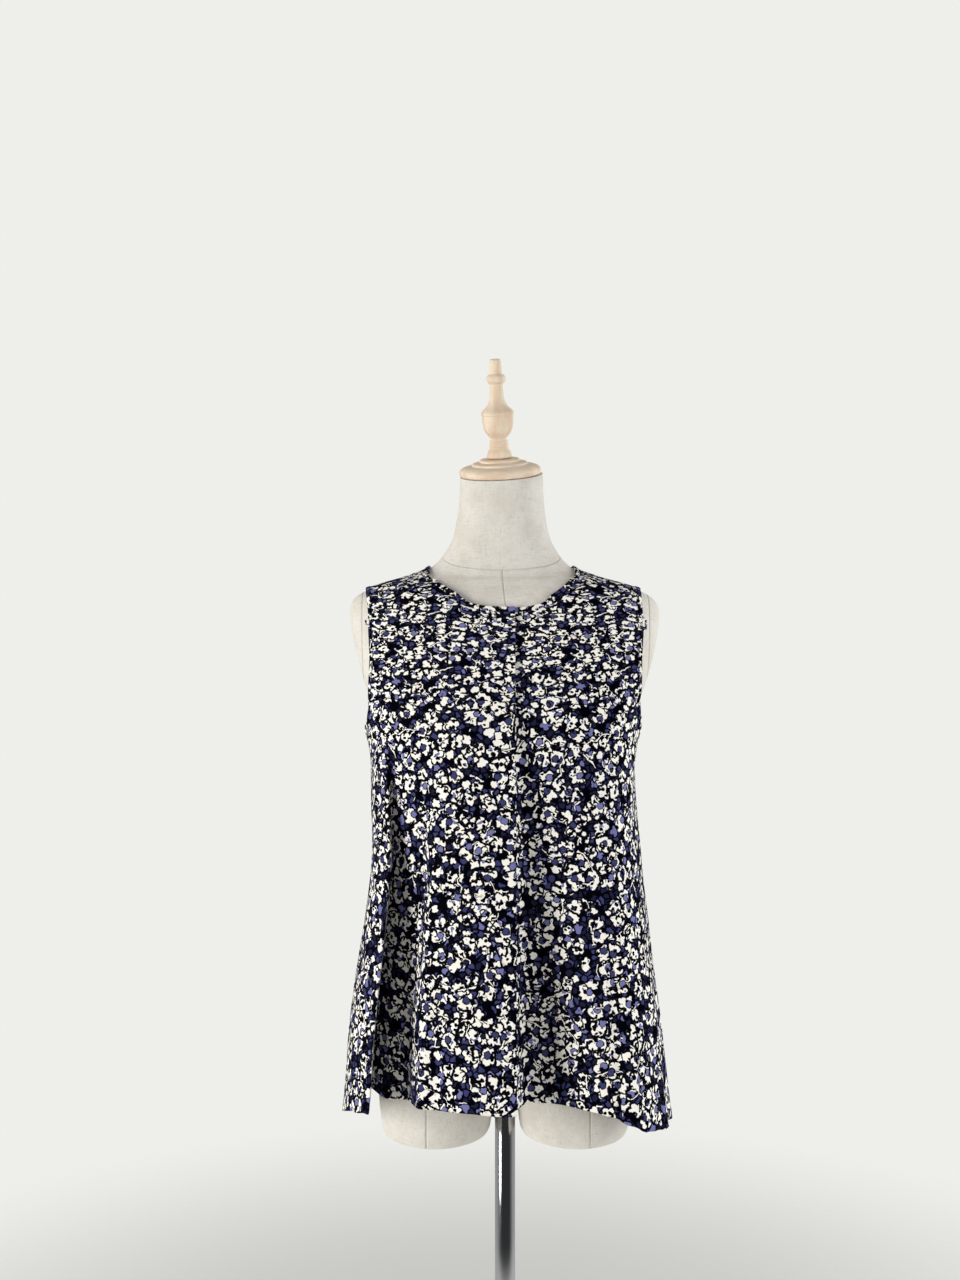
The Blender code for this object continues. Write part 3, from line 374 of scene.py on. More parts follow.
def creaseDepth(piece, turn, height):
    total = np.zeros_like(turn)
    perTurn = creases["metresPerTurn"]
    for turnFrom, heightFrom, turnTo, heightTo, width, depth, fadeIn, fadeOut in creases[piece]:
        startAcross = turnFrom * perTurn
        runAcross = (turnTo - turnFrom) * perTurn
        runUp = heightTo - heightFrom
        length = math.hypot(runAcross, runUp)
        across = turn * perTurn - startAcross
        up = height - heightFrom
        share = (across * runAcross + up * runUp) / length ** 2
        off = (across * runUp - up * runAcross) / length
        faded = smoothStep(0.0, fadeIn, share)
        if fadeOut >= creases["runsOn"]:
            faded = faded * (1.0 - smoothStep(1.0 - fadeOut, 1.0, share))
        total += depth * np.exp(-(off / width) ** 2) * faded
    return total


def clothPoints(piece, turn, level, out=0.0):
    facing = 1 if piece == "back" else -1
    height = heightAt(level)
    middle = clothSurface(turn, level, facing)
    normal = normalsOf(clothSurface, turn, level, facing)
    out = out - creaseDepth(piece, turn, height)
    aboveHem = height - hemHeight(piece, turn)
    hemEdge = 1.0 - smoothStep(cloth["hemTurnUp"] - cloth["hemSoft"], cloth["hemTurnUp"], aboveHem)
    out = out + cloth["hemStep"] * hemEdge
    if piece == "rightFront":
        out = out + cloth["lapLift"] * (1.0 - smoothStep(cloth["lapLiftFrom"], cloth["lapLiftTo"], -turn))
    nearSeam = np.clip((90.0 - np.abs(turn)) / cloth["seamDipTurn"], 0.0, 4.0)
    out = out - cloth["seamDip"] * np.exp(-nearSeam ** 2)
    calm = smoothStep(cloth["restsAbove"], cloth["freeBelow"], height)
    calm = creases["calmShare"] + (1.0 - creases["calmShare"]) * calm
    wave = [noise.noise(Vector(place) / creases["unevenEvery"]) for place in middle]
    out = out + creases["unevenness"] * calm * np.array(wave)
    points = middle + normal * out[:, None] + foldShift(piece, turn, height, facing)
    atSeam = np.isclose(np.abs(turn), 90.0)
    points[atSeam, 1] = facing * 0.5 * cloth["seamGap"]
    return points


# where the pattern's edges lie on the surface, as turns and levels

levelOf = {
    "underarm": float(formLevel(cloth["underarm"])),
    "tip": float(formLevel(cloth["shoulderTip"])),
    "point": float(formLevel(cloth["shoulderPoint"])),
    "frontNeck": float(formLevel(cloth["frontNeck"])),
    "backNeck": cloth["backNeckLevel"],
}
neckReach = rowsAt(form["rings"], np.array([levelOf["point"]]))[1][0]


def hemHeight(piece, turn):
    hem = cloth["hem"]
    if piece == "back":
        right = easedBetween(hem["turn"], hem["rightBack"], np.abs(turn))
        left = easedBetween(hem["turn"], hem["leftBack"], np.abs(turn))
        return np.where(turn < 0.0, right, left)
    side = -1 if piece == "rightFront" else 1
    return easedBetween(hem["turn"], hem[piece], side * turn)


def easedBetween(places, values, wanted):
    places = np.array(places)
    values = np.array(values)
    index = np.clip(np.searchsorted(places, wanted) - 1, 0, len(places) - 2)
    share = smoothStep(places[index], places[index + 1], wanted)
    return values[index] + share * (values[index + 1] - values[index])


def turnAt(across, level):  # the turn at which the front of the cloth is this far across
    ladder = np.linspace(level.min(), level.max() + fineness["ladderPast"], fineness["ladder"])
    high = np.full_like(ladder, fineness["widestTurn"])
    low = -high
    for _ in range(fineness["halvings"]):
        middle = 0.5 * (low + high)
        short = clothSurface(middle, ladder, -1)[:, 0] < across
        low = np.where(short, middle, low)
        high = np.where(short, high, middle)
    return np.interp(level, ladder, 0.5 * (low + high))


def neckCells(angle, side, middleLevel):
    out = np.sin(np.radians(angle))
    across = neckReach * out
    full = cloth["neckAcross"][0 if side < 0 else 1]
    left = np.clip(1.0 - np.abs(out) ** full, 0.0, None)
    rise = 1.0 - left ** (1.0 / cloth["neckDown"])
    level = middleLevel + (levelOf["point"] - middleLevel) * rise
    ring = rowsAt(form["rings"], level)
    share = np.clip(np.abs(across) / ring[1], 0.0, 1.0)
    turn = np.degrees(np.arcsin(share ** (0.5 * ring[4])))
    return side * np.sign(across) * turn, level


def neckAngles(share, firstAngle, middleLevel, facing):  # evenly apart along the neckline
    tries = np.linspace(firstAngle, 90.0, fineness["neck"])
    steps = stepsOf(clothSurface(*neckCells(tries, 1, middleLevel), facing))
    return np.interp(share, runningSum(steps) / steps.sum(), tries)


def armholeCells(share, side, cuts):
    known = cloth["armholeShares"]
    place = np.interp(share, known, np.arange(len(known)))
    cutIn = np.where((share <= 0.0) | (share >= 1.0), 0.0, rowsAt(list(zip(known, cuts)), place)[1])
    return side * (90.0 - cutIn), levelOf["underarm"] + (levelOf["tip"] - levelOf["underarm"]) * share


def shoulderCells(share, side):
    return np.full_like(share, side * 90.0), levelOf["point"] + (levelOf["tip"] - levelOf["point"]) * share


def columnTurns(piece, side, firstTurn, across):  # spread over the folds, with one at the neck's turn
    facing = 1 if piece == "back" else -1
    turns = np.empty_like(across)
    ends = ((0.0, cloth["neckShare"], firstTurn, side * cloth["neckTurn"]),
            (cloth["neckShare"], 1.0, side * cloth["neckTurn"], side * 90.0))
    for shareFrom, shareTo, turnFrom, turnTo in ends:
        tries = np.linspace(turnFrom, turnTo, fineness["columns"])
        height = np.full_like(tries, cloth["columnsFrom"])
        steps = stepsOf(freePoints(tries, height, facing) + foldShift(piece, tries, height, facing))
        steps = steps + steps.mean()
        walked = runningSum(steps) / steps.sum()
        chosen = (across >= shareFrom) & (across <= shareTo)
        turns[chosen] = np.interp((across[chosen] - shareFrom) / (shareTo - shareFrom), walked, tries)
    return turns


def blendCells(bottom, top, first, last, along, upper):
    # each edge is its turns and levels, and the bottom and the top also give their two corners
    cells = []
    for axis in (0, 1):
        ruledUp = (1.0 - upper) * bottom[axis] + upper * top[axis]
        ruledAcross = (1.0 - along) * first[axis] + along * last[axis]
        lowSide = (1.0 - along) * bottom[2][axis] + along * bottom[3][axis]
        highSide = (1.0 - along) * top[2][axis] + along * top[3][axis]
        cells.append(ruledUp + ruledAcross - (1.0 - upper) * lowSide - upper * highSide)
    return cells


rowShare = cloth["lowerRows"] / (cloth["lowerRows"] + cloth["upperRows"])


def pastShare(share, start):  # 0 up to the start, and then from 0 to 1
    return np.clip((share - start) / (1.0 - start), 0.0, 1.0)


def eitherCells(chosen, cells, others):
    return tuple(np.where(chosen, one, other) for one, other in zip(cells, others))


def lowLevels(piece, turn, up):  # of the rows between the hem and the underarm
    height = hemHeight(piece, turn)
    return formLevel(height + (cloth["underarm"] - height) * np.clip(up / rowShare, 0.0, 1.0))


def frontCells(piece, across, up):  # across and up are shares, 0 at the opening and at the hem
    side = -1 if piece == "rightFront" else 1
    edge = cloth["lapEdge"] if piece == "rightFront" else cloth["lapUnder"]
    upper = pastShare(up, rowShare)
    underarm = levelOf["underarm"]
    firstTurn = turnAt(edge, np.array([underarm]))[0]
    underTurn = columnTurns(piece, side, firstTurn, across)
    along = (underTurn - firstTurn) / (side * 90.0 - firstTurn)
    bottom = (underTurn, np.full_like(across, underarm), (firstTurn, underarm), (side * 90.0, underarm))

    firstAngle = -np.degrees(np.arcsin(abs(edge) / neckReach))
    alongNeck = np.clip(across / cloth["neckShare"], 0.0, 1.0)
    neckAngle = neckAngles(alongNeck, firstAngle, levelOf["frontNeck"], -1)
    neck = neckCells(neckAngle, side, levelOf["frontNeck"])
    shoulder = shoulderCells(pastShare(across, cloth["neckShare"]), side)
    corner = [part[0] for part in neckCells(np.array([firstAngle]), side, levelOf["frontNeck"])]
    top = eitherCells(across <= cloth["neckShare"], neck, shoulder) + (corner, (side * 90.0, levelOf["tip"]))

    firstLevel = underarm + (corner[1] - underarm) * upper
    first = (turnAt(edge, firstLevel), firstLevel)
    last = armholeCells(upper, side, cloth["frontArmholeCut"])
    cells = blendCells(bottom, top, first, last, along, upper)
    lowLevel = lowLevels(piece, underTurn, up)
    lowTurn = underTurn + (turnAt(edge, lowLevel) - firstTurn) * (1.0 - along) ** cloth["edgeHold"]
    return eitherCells(up < rowShare, (lowTurn, lowLevel), cells)


def backCells(across, up):  # across is 0 at the wearer's right and 1 at the left
    upper = pastShare(up, rowShare)
    out = np.abs(2.0 * across - 1.0)
    turnRight = columnTurns("back", -1, 0.0, out)
    turnLeft = columnTurns("back", 1, 0.0, out)
    underTurn = np.where(across < 0.5, turnRight, turnLeft)
    along = 0.5 + underTurn / 180.0
    underarm = levelOf["underarm"]
    bottom = (underTurn, np.full_like(across, underarm), (-90.0, underarm), (90.0, underarm))

    alongNeck = np.clip(out / cloth["neckShare"], 0.0, 1.0)
    neck = neckCells(neckAngles(alongNeck, 0.0, levelOf["backNeck"], 1), 1, levelOf["backNeck"])
    shoulder = shoulderCells(pastShare(out, cloth["neckShare"]), 1)
    turn, level = eitherCells(out <= cloth["neckShare"], neck, shoulder)
    top = (np.where(across < 0.5, -1.0, 1.0) * turn, level, (-90.0, levelOf["tip"]), (90.0, levelOf["tip"]))
    first = armholeCells(upper, -1, cloth["backArmholeCut"])
    last = armholeCells(upper, 1, cloth["backArmholeCut"])
    cells = blendCells(bottom, top, first, last, along, upper)
    return eitherCells(up < rowShare, (underTurn, lowLevels("back", underTurn, up)), cells)


def panelCells(piece, across, up):
    return backCells(across, up) if piece == "back" else frontCells(piece, across, up)


# making pieces

def meshFrom(bm, name):
    mesh = bpy.data.meshes.new(name)
    bm.to_mesh(mesh)
    bm.free()
    return mesh


def addObject(name, data):
    made = bpy.data.objects.new(name, data)
    bpy.context.scene.collection.objects.link(made)
    return made


def addPiece(name, mesh, material, slot, *nodes):
    made = addObject(name, mesh)
    mesh.materials.append(material)
    mesh.shade_smooth()
    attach(made, "root")
    if nodes:
        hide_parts(*nodes)
    return made


def addWall(made, thickness):
    wall = made.modifiers.new("wall", "SOLIDIFY")
    wall.thickness = thickness
    wall.offset = 0.0
    wall.use_even_offset = False


def gridOf(columns, rows):  # a flat grid, with x and y as shares from 0 to 1
    bm = bmesh.new()
    bmesh.ops.create_grid(bm, x_segments=columns, y_segments=rows, size=0.5)
    bmesh.ops.translate(bm, verts=bm.verts, vec=(0.5, 0.5, 0.0))
    bm.verts.ensure_lookup_table()
    return bm


def sharesOf(bm):
    places = np.array([vert.co[:2] for vert in bm.verts])
    return places[:, 0], places[:, 1]


def moveAll(bm, points):
    for vert, point in zip(bm.verts, points):
        vert.co = point


def faceOut(bm, wayOut):  # wayOut gives the way out of the cloth at a place
    bmesh.ops.recalc_face_normals(bm, faces=bm.faces)
    seen = sum(face.normal.dot(wayOut(face.calc_center_median())) for face in bm.faces)
    if seen < 0.0:
        bmesh.ops.reverse_faces(bm, faces=bm.faces)


def fromAxis(place):
    return Vector((place.x, place.y, 0.0))


def sideways(place):
    return Vector((place.x, 0.0, 0.0))


unwrap = {
    "ends": 20,  # the lowest and the highest of this many parts of the cloth show which way is up
    "near": 0.02,
}


def unwrapInMetres(made):
    bpy.context.view_layer.objects.active = made
    made.select_set(True)
    bpy.ops.object.mode_set(mode="EDIT")
    bpy.ops.mesh.select_all(action="SELECT")
    bpy.ops.uv.unwrap(method="CONFORMAL", margin=0.0)
    bpy.ops.object.mode_set(mode="OBJECT")
    made.select_set(False)
    mesh = made.data
    layer = mesh.uv_layers.active
    layer.name = "flatCloth"
    flat = np.zeros(len(mesh.loops) * 2)
    layer.uv.foreach_get("vector", flat)
    flat = flat.reshape(-1, 2)
    corners = np.zeros(len(mesh.loops), int)
    mesh.loops.foreach_get("vertex_index", corners)
    places = np.zeros(len(mesh.vertices) * 3)
    mesh.vertices.foreach_get("co", places)
    places = places.reshape(-1, 3)[corners]
    byHeight = np.argsort(places[:, 2])
    lowest = byHeight[:len(byHeight) // unwrap["ends"]]
    highest = byHeight[-len(byHeight) // unwrap["ends"]:]
    steps = stepsOf(places)
    near = steps < unwrap["near"]
    scale = steps[near].sum() / stepsOf(flat)[near].sum()
    up = flat[highest].mean(axis=0) - flat[lowest].mean(axis=0)
    turn = math.atan2(up[0], up[1])
    upright = np.array(((math.cos(turn), math.sin(turn)), (-math.sin(turn), math.cos(turn))))
    flat = (flat - flat.mean(axis=0)) @ upright * scale
    rise = np.clip(places[:, 2] - floral["closerFrom"], 0.0, None)
    over = np.clip(places[:, 2] - floral["closerTo"], 0.0, None)
    run = floral["closerTo"] - floral["closerFrom"]
    flat[:, 1] += floral["closer"] * (rise ** 2 - over ** 2) / (2.0 * run)
    layer.uv.foreach_set("vector", flat.ravel())


print("building the cloth")


def addPanel(name, piece, columns, printMaterial, *nodes):
    rows = cloth["lowerRows"] + cloth["upperRows"]
    bm = gridOf(columns, rows)
    across, up = sharesOf(bm)
    moveAll(bm, clothPoints(piece, *panelCells(piece, across, up)))
    faceOut(bm, fromAxis)
    made = addPiece(name, meshFrom(bm, name), printMaterial, "printed_crepe", *nodes)
    unwrapInMetres(made)
    addWall(made, cloth["wall"])
    return made


# finishes

class Finish:  # a material with its shader, and short ways to add nodes to it
    def __init__(self, name, roughness, metallic=0.0):
        self.material = bpy.data.materials.new(name)
        self.material.use_nodes = True
        self.nodes = self.material.node_tree.nodes
        self.links = self.material.node_tree.links
        self.shader = self.nodes["Principled BSDF"]
        self.shader.inputs["Roughness"].default_value = roughness
        self.shader.inputs["Metallic"].default_value = metallic

    def feed(self, socket, value):
        if isinstance(value, bpy.types.NodeSocket):
            self.links.new(value, socket)
        else:
            socket.default_value = value

    def math(self, operation, first, second=0.0, third=0.0):
        node = self.nodes.new("ShaderNodeMath")
        node.operation = operation
        for socket, value in zip(node.inputs, (first, second, third)):
            self.feed(socket, value)
        return node.outputs[0]

    def vector(self, operation, first, second=(0.0, 0.0, 0.0), scale=1.0):
        node = self.nodes.new("ShaderNodeVectorMath")
        node.operation = operation
        self.feed(node.inputs[0], first)
        self.feed(node.inputs[1], second)
        if operation == "SCALE":
            self.feed(node.inputs["Scale"], scale)
        return node.outputs["Value"] if operation in ("LENGTH", "DISTANCE") else node.outputs[0]

    def colours(self, share, low, high):
        node = self.nodes.new("ShaderNodeMix")
        node.data_type = "RGBA"
        self.feed(node.inputs["Factor"], share)
        self.feed(node.inputs[6], low)
        self.feed(node.inputs[7], high)
        return node.outputs[2]

    def ramp(self, value, low, high, start=0.0, end=1.0):
        node = self.nodes.new("ShaderNodeMapRange")
        node.interpolation_type = "SMOOTHSTEP"
        for socket, given in zip(node.inputs, (value, low, high, start, end)):
            self.feed(socket, given)
        return node.outputs[0]

    def cloud(self, place, every, detail=2.0, flat=False, roughness=0.5):
        node = self.nodes.new("ShaderNodeTexNoise")
        node.noise_dimensions = "2D" if flat else "3D"
        self.feed(node.inputs["Vector"], place)
        node.inputs["Scale"].default_value = 1.0 / every
        node.inputs["Detail"].default_value = detail
        node.inputs["Roughness"].default_value = roughness
        return node

    def scatter(self, place, every, feature="F1", randomness=1.0):
        node = self.nodes.new("ShaderNodeTexVoronoi")
        node.voronoi_dimensions = "2D"
        node.feature = feature
        self.feed(node.inputs["Vector"], place)
        node.inputs["Scale"].default_value = 1.0 / every
        node.inputs["Randomness"].default_value = randomness
        return node

    def split(self, vector):
        node = self.nodes.new("ShaderNodeSeparateXYZ")
        self.feed(node.inputs[0], vector)
        return node.outputs

    def join(self, across, up, deep=0.0):
        node = self.nodes.new("ShaderNodeCombineXYZ")
        for socket, value in zip(node.inputs, (across, up, deep)):
            self.feed(socket, value)
        return node.outputs[0]

    def place(self, kind="Object"):
        return self.nodes.new("ShaderNodeTexCoord").outputs[kind]

    def mapped(self, place, rotation=(0.0, 0.0, 0.0), scale=(1.0, 1.0, 1.0)):
        node = self.nodes.new("ShaderNodeMapping")
        self.feed(node.inputs["Vector"], place)
        node.inputs["Rotation"].default_value = rotation
        node.inputs["Scale"].default_value = scale
        return node.outputs[0]

    def bump(self, height, distance, strength=1.0, under=None):
        node = self.nodes.new("ShaderNodeBump")
        node.inputs["Distance"].default_value = distance
        node.inputs["Strength"].default_value = strength
        self.feed(node.inputs["Height"], height)
        if under is not None:
            self.feed(node.inputs["Normal"], under)
        return node.outputs[0]

    def wear(self, colour, normal=None, roughness=None):
        self.feed(self.shader.inputs["Base Color"], colour)
        if normal is not None:
            self.feed(self.shader.inputs["Normal"], normal)
        if roughness is not None:
            self.feed(self.shader.inputs["Roughness"], roughness)
        return self.material


floral = {
    "closer": 0.75,  # how much closer the print lies, from top to bottom, over the chest
    "closerFrom": 1.19,
    "closerTo": 1.31,
    "drawn": 1.16,  # how much larger the print is than the lengths below
    "ground": (0.0008, 0.0008, 0.0030, 1.0),
    "cream": (0.90, 0.87, 0.80, 1.0),
    "shaded": (0.66, 0.62, 0.56, 1.0),
    "lavender": (0.165, 0.17, 0.37, 1.0),
    "slate": (0.044, 0.048, 0.135, 1.0),
    "darkSlate": (0.014, 0.015, 0.040, 1.0),
    "line": 0.0021,  # dark line around and between the shapes
    "lineSolid": 0.75,  # share of the line that is fully dark
    "edge": 0.00015,  # half the width over which one colour turns into another
    "ragged": 0.0030,
    "raggedEvery": 0.0039,
    "fullTurn": 6.28,
    "leftOut": 0.02,  # taken off the reach of a shape that isn't there
    # a cell's own three random numbers, from 0 to 1, say what stands in it, against the shares below
    "pebbleEvery": 0.0064,
    "pebbleReach": 0.0039,
    "pebbleApart": 0.42,  # of the dark line
    "pebblesOut": 0.22,
    "pebblesDark": 0.48,
    "pebblesNotLavender": 0.94,
    "floretEvery": 0.0102,
    "floretReach": 0.0047,
    "floretPetals": 2.0,  # half of the four petals
    "floretCut": 0.4,
    "floretSizes": (0.6, 0.6),  # the smallest, and how much larger the largest is
    "floretsOut": 0.60,
    "floretsCream": 0.80,
    "floretsMoved": (0.37, 0.21, 0.0),
    "flowerEvery": 0.0182,
    "flowerReach": 0.0104,
    "flowerRandom": 0.9,
    "flowerApart": 0.55,  # of the dark line
    "flowerSizes": (0.58, 0.5),
    "petals": 2.5,  # half of the five petals
    "petalCut": 0.40,
    "petalFullness": 0.7,
    "biteEvery": 0.0064,
    "biteAbove": 0.552,
    "biteSteep": 1.6,
    "bitesMoved": (0.13, 0.57, 0.0),
    "petalTonesEvery": 0.0070,
    "petalTonesMoved": (0.71, 0.33, 0.0),
    "shadedFrom": (0.34, 0.20),
    "lavenderFrom": (0.665, 0.685),
    "stemEvery": 0.034,
    "stem": 0.0006,
    "stemEdge": 0.0001,
    "stemLine": 0.6,  # of the dark line
    "stemsWhere": 0.57,
    "stemsWhereEvery": 0.011,
    "stemsMoved": (0.91, 0.17, 0.0),
    "curl": 0.012,
    "curlEvery": 0.016,
    "eye": 0.0040,
    "eyesFrom": 0.50,
    "eyesAside": 0.0075,
    "eyeRim": (0.0008, 0.0010),  # width of the dark ring round the eye's colour
    "eyesLavender": 0.55,
    "pastPetal": 0.0008,
    "dot": 0.0019,
    "secondDot": 0.85,  # of the first one's reach
    "secondDotsFrom": 0.70,
    "secondDotAside": 1.4,
}
crepeGrain = {
    "every": 0.0011,
    "roughness": 0.7,
    "slubEvery": 0.0009,
    "slubLonger": (1.0, 0.18, 1.0),
    "slubShare": 0.6,
    "height": 0.00018,
    "strength": 0.55,
    "patchEvery": 0.035,
    "matt": (0.80, 0.92),  # roughness in the smoothest and the most matt patches
}


def lobesOf(made, away, petals, turned):  # 1 along the middle of each petal, and 0 between two
    x, y, _ = made.split(away)
    turned = made.math("MULTIPLY", turned, floral["fullTurn"])
    angle = made.math("MULTIPLY_ADD", made.math("ARCTAN2", y, x), petals, turned)
    return made.math("ABSOLUTE", made.math("COSINE", angle))


def petalsOf(made, away, lobes, size, reach, cut, sizes):  # how far inside the petals' outline, in metres
    reach = made.math("MULTIPLY_ADD", lobes, reach * cut, reach * (1.0 - cut))
    smallest, more = sizes
    reach = made.math("MULTIPLY", reach, made.math("MULTIPLY_ADD", size, more, smallest))
    return made.math("SUBTRACT", reach, made.vector("LENGTH", away))


def without(made, inside, random, share):  # takes this share of the shapes away
    absent = made.math("MULTIPLY", made.math("LESS_THAN", random, share), floral["leftOut"])
    return made.math("SUBTRACT", inside, absent)


def painted(made, colour, inside, tone, where=None):  # lays a tone on the colour, inside a shape
    share = made.ramp(inside, -floral["edge"], floral["edge"])
    if where is not None:
        share = made.math("MULTIPLY", share, where)
    return made.colours(share, colour, tone)


def lined(made, colour, inside):  # the dark line round a shape
    line = floral["line"]
    return made.colours(made.ramp(inside, -line, -floral["lineSolid"] * line), colour, floral["ground"])


def printFinish():
    look = floral
    made = Finish("printedCrepe", 0.85)
    flat = made.vector("SCALE", made.place("UV"), scale=1.0 / look["drawn"])
    wobble = made.cloud(flat, look["raggedEvery"], 1.5, flat=True)
    wobble = made.vector("SUBTRACT", wobble.outputs["Color"], (0.5, 0.5, 0.5))
    place = made.vector("ADD", flat, made.vector("SCALE", wobble, scale=look["ragged"]))

    # slate and lavender pebbles fill the ground
    every = look["pebbleEvery"]
    pebble = made.scatter(place, every)
    border = made.scatter(place, every, "DISTANCE_TO_EDGE")
    apart = -look["pebbleApart"] * look["line"]
    pebbleIn = made.math("MULTIPLY_ADD", border.outputs["Distance"], every, apart)
    toMiddle = made.vector("DISTANCE", place, pebble.outputs["Position"])
    pebbleIn = made.math("MINIMUM", pebbleIn, made.math("SUBTRACT", look["pebbleReach"], toMiddle))
    red, green, blue = made.split(pebble.outputs["Color"])
    pebbleIn = without(made, pebbleIn, red, look["pebblesOut"])
    isDark = made.math("GREATER_THAN", green, look["pebblesDark"])
    tone = made.colours(isDark, look["slate"], look["darkSlate"])
    isLavender = made.math("GREATER_THAN", blue, look["pebblesNotLavender"])
    tone = made.colours(isLavender, tone, look["lavender"])
    colour = painted(made, look["ground"], pebbleIn, tone)

    # small florets, on some of their cells
    moved = made.vector("ADD", place, look["floretsMoved"])
    floret = made.scatter(moved, look["floretEvery"])
    red, green, blue = made.split(floret.outputs["Color"])
    away = made.vector("SUBTRACT", moved, floret.outputs["Position"])
    lobes = lobesOf(made, away, look["floretPetals"], green)
    reach = look["floretReach"]
    inside = petalsOf(made, away, lobes, blue, reach, look["floretCut"], look["floretSizes"])
    inside = without(made, inside, red, look["floretsOut"])
    isLavender = made.math("GREATER_THAN", green, look["floretsCream"])
    tone = made.colours(isLavender, look["cream"], look["lavender"])
    colour = painted(made, lined(made, colour, inside), inside, tone)

    # the flowers, with bites out of them that leave curled petals
    every = look["flowerEvery"]
    flower = made.scatter(place, every, randomness=look["flowerRandom"])
    border = made.scatter(place, every, "DISTANCE_TO_EDGE", look["flowerRandom"])
    red, green, blue = made.split(flower.outputs["Color"])
    away = made.vector("SUBTRACT", place, flower.outputs["Position"])
    lobes = made.math("POWER", lobesOf(made, away, look["petals"], red), look["petalFullness"])
    reach = look["flowerReach"]
    inside = petalsOf(made, away, lobes, green, reach, look["petalCut"], look["flowerSizes"])
    apart = -look["flowerApart"] * look["line"]
    toBorder = made.math("MULTIPLY_ADD", border.outputs["Distance"], every, apart)
    inside = made.math("MINIMUM", inside, toBorder)
    bites = made.cloud(made.vector("ADD", flat, look["bitesMoved"]), look["biteEvery"], 1.0, flat=True)
    bitten = made.math("SUBTRACT", look["biteAbove"], bites.outputs["Fac"])
    bitten = made.math("MULTIPLY", bitten, look["biteEvery"] * look["biteSteep"])
    inside = made.math("MINIMUM", inside, bitten)
    moved = made.vector("ADD", flat, look["petalTonesMoved"])
    petal = made.cloud(moved, look["petalTonesEvery"], 1.0, flat=True).outputs["Fac"]
    tone = made.colours(made.ramp(petal, *look["shadedFrom"]), look["cream"], look["shaded"])
    tone = made.colours(made.ramp(petal, *look["lavenderFrom"]), tone, look["lavender"])
    colour = painted(made, lined(made, colour, inside), inside, tone)

    # thin curling cream stems between some of them
    curl = made.cloud(flat, look["curlEvery"], 1.0, flat=True)
    curl = made.vector("SUBTRACT", curl.outputs["Color"], (0.5, 0.5, 0.5))
    curled = made.vector("ADD", place, made.vector("SCALE", curl, scale=look["curl"]))
    stems = made.scatter(curled, look["stemEvery"], "DISTANCE_TO_EDGE")
    stem = made.math("MULTIPLY", stems.outputs["Distance"], look["stemEvery"])
    moved = made.vector("ADD", flat, look["stemsMoved"])
    where = made.cloud(moved, look["stemsWhereEvery"], 1.0, flat=True).outputs["Fac"]
    where = made.math("GREATER_THAN", where, look["stemsWhere"])
    near = made.math("LESS_THAN", stem, look["stem"] + look["stemLine"] * look["line"])
    colour = made.colours(made.math("MULTIPLY", near, where), colour, look["ground"])
    onStem = made.ramp(stem, look["stem"] + look["stemEdge"], look["stem"] - look["stemEdge"])
    colour = made.colours(made.math("MULTIPLY", onStem, where), colour, look["cream"])

    # eyes on some of the flowers, dots on the others, and second dots on some of both
    aside = made.vector("SUBTRACT", made.join(blue, red), (0.5, 0.5, 0.0))
    aside = made.vector("SCALE", aside, scale=look["eyesAside"])
    offEye = made.vector("LENGTH", made.vector("SUBTRACT", away, aside))
    eyed = made.math("GREATER_THAN", green, look["eyesFrom"])
    eyeIn = made.math("SUBTRACT", made.math("MULTIPLY", eyed, look["eye"]), offEye)
    onFlower = made.math("GREATER_THAN", made.math("ADD", inside, look["pastPetal"]), 0.0)
    colour = painted(made, colour, eyeIn, look["ground"], onFlower)
    isLavender = made.math("GREATER_THAN", blue, look["eyesLavender"])
    eyeTone = made.colours(isLavender, look["slate"], look["lavender"])
    eyeOn = made.math("MULTIPLY", made.ramp(eyeIn, *look["eyeRim"]), onFlower)
    colour = made.colours(eyeOn, colour, eyeTone)
    dotted = made.math("MULTIPLY", made.math("LESS_THAN", green, look["eyesFrom"]), look["dot"])
    colour = painted(made, colour, made.math("SUBTRACT", dotted, offEye), look["ground"], onFlower)
    offSecond = made.vector("SCALE", aside, scale=look["secondDotAside"])
    offSecond = made.vector("LENGTH", made.vector("ADD", away, offSecond))
    second = made.math("GREATER_THAN", red, look["secondDotsFrom"])
    second = made.math("MULTIPLY", second, look["dot"] * look["secondDot"])
    colour = painted(made, colour, made.math("SUBTRACT", second, offSecond), look["ground"], onFlower)

    # crepe: fine pebbled threads, with slow unevenness in how matt it is
    crepe = made.cloud(flat, crepeGrain["every"], 3.0, flat=True, roughness=crepeGrain["roughness"])
    drawnOut = made.mapped(flat, scale=crepeGrain["slubLonger"])
    slub = made.cloud(drawnOut, crepeGrain["slubEvery"], 2.0, flat=True)
    slub = made.math("MULTIPLY", slub.outputs["Fac"], crepeGrain["slubShare"])
    grain = made.math("ADD", crepe.outputs["Fac"], slub)
    normal = made.bump(grain, crepeGrain["height"], crepeGrain["strength"])
    patches = made.cloud(flat, crepeGrain["patchEvery"], 2.0, flat=True)
    roughness = made.ramp(patches.outputs["Fac"], 0.3, 0.7, *crepeGrain["matt"])
    made.shader.inputs["Specular IOR Level"].default_value = 0.02
    return made.wear(colour, normal, roughness)


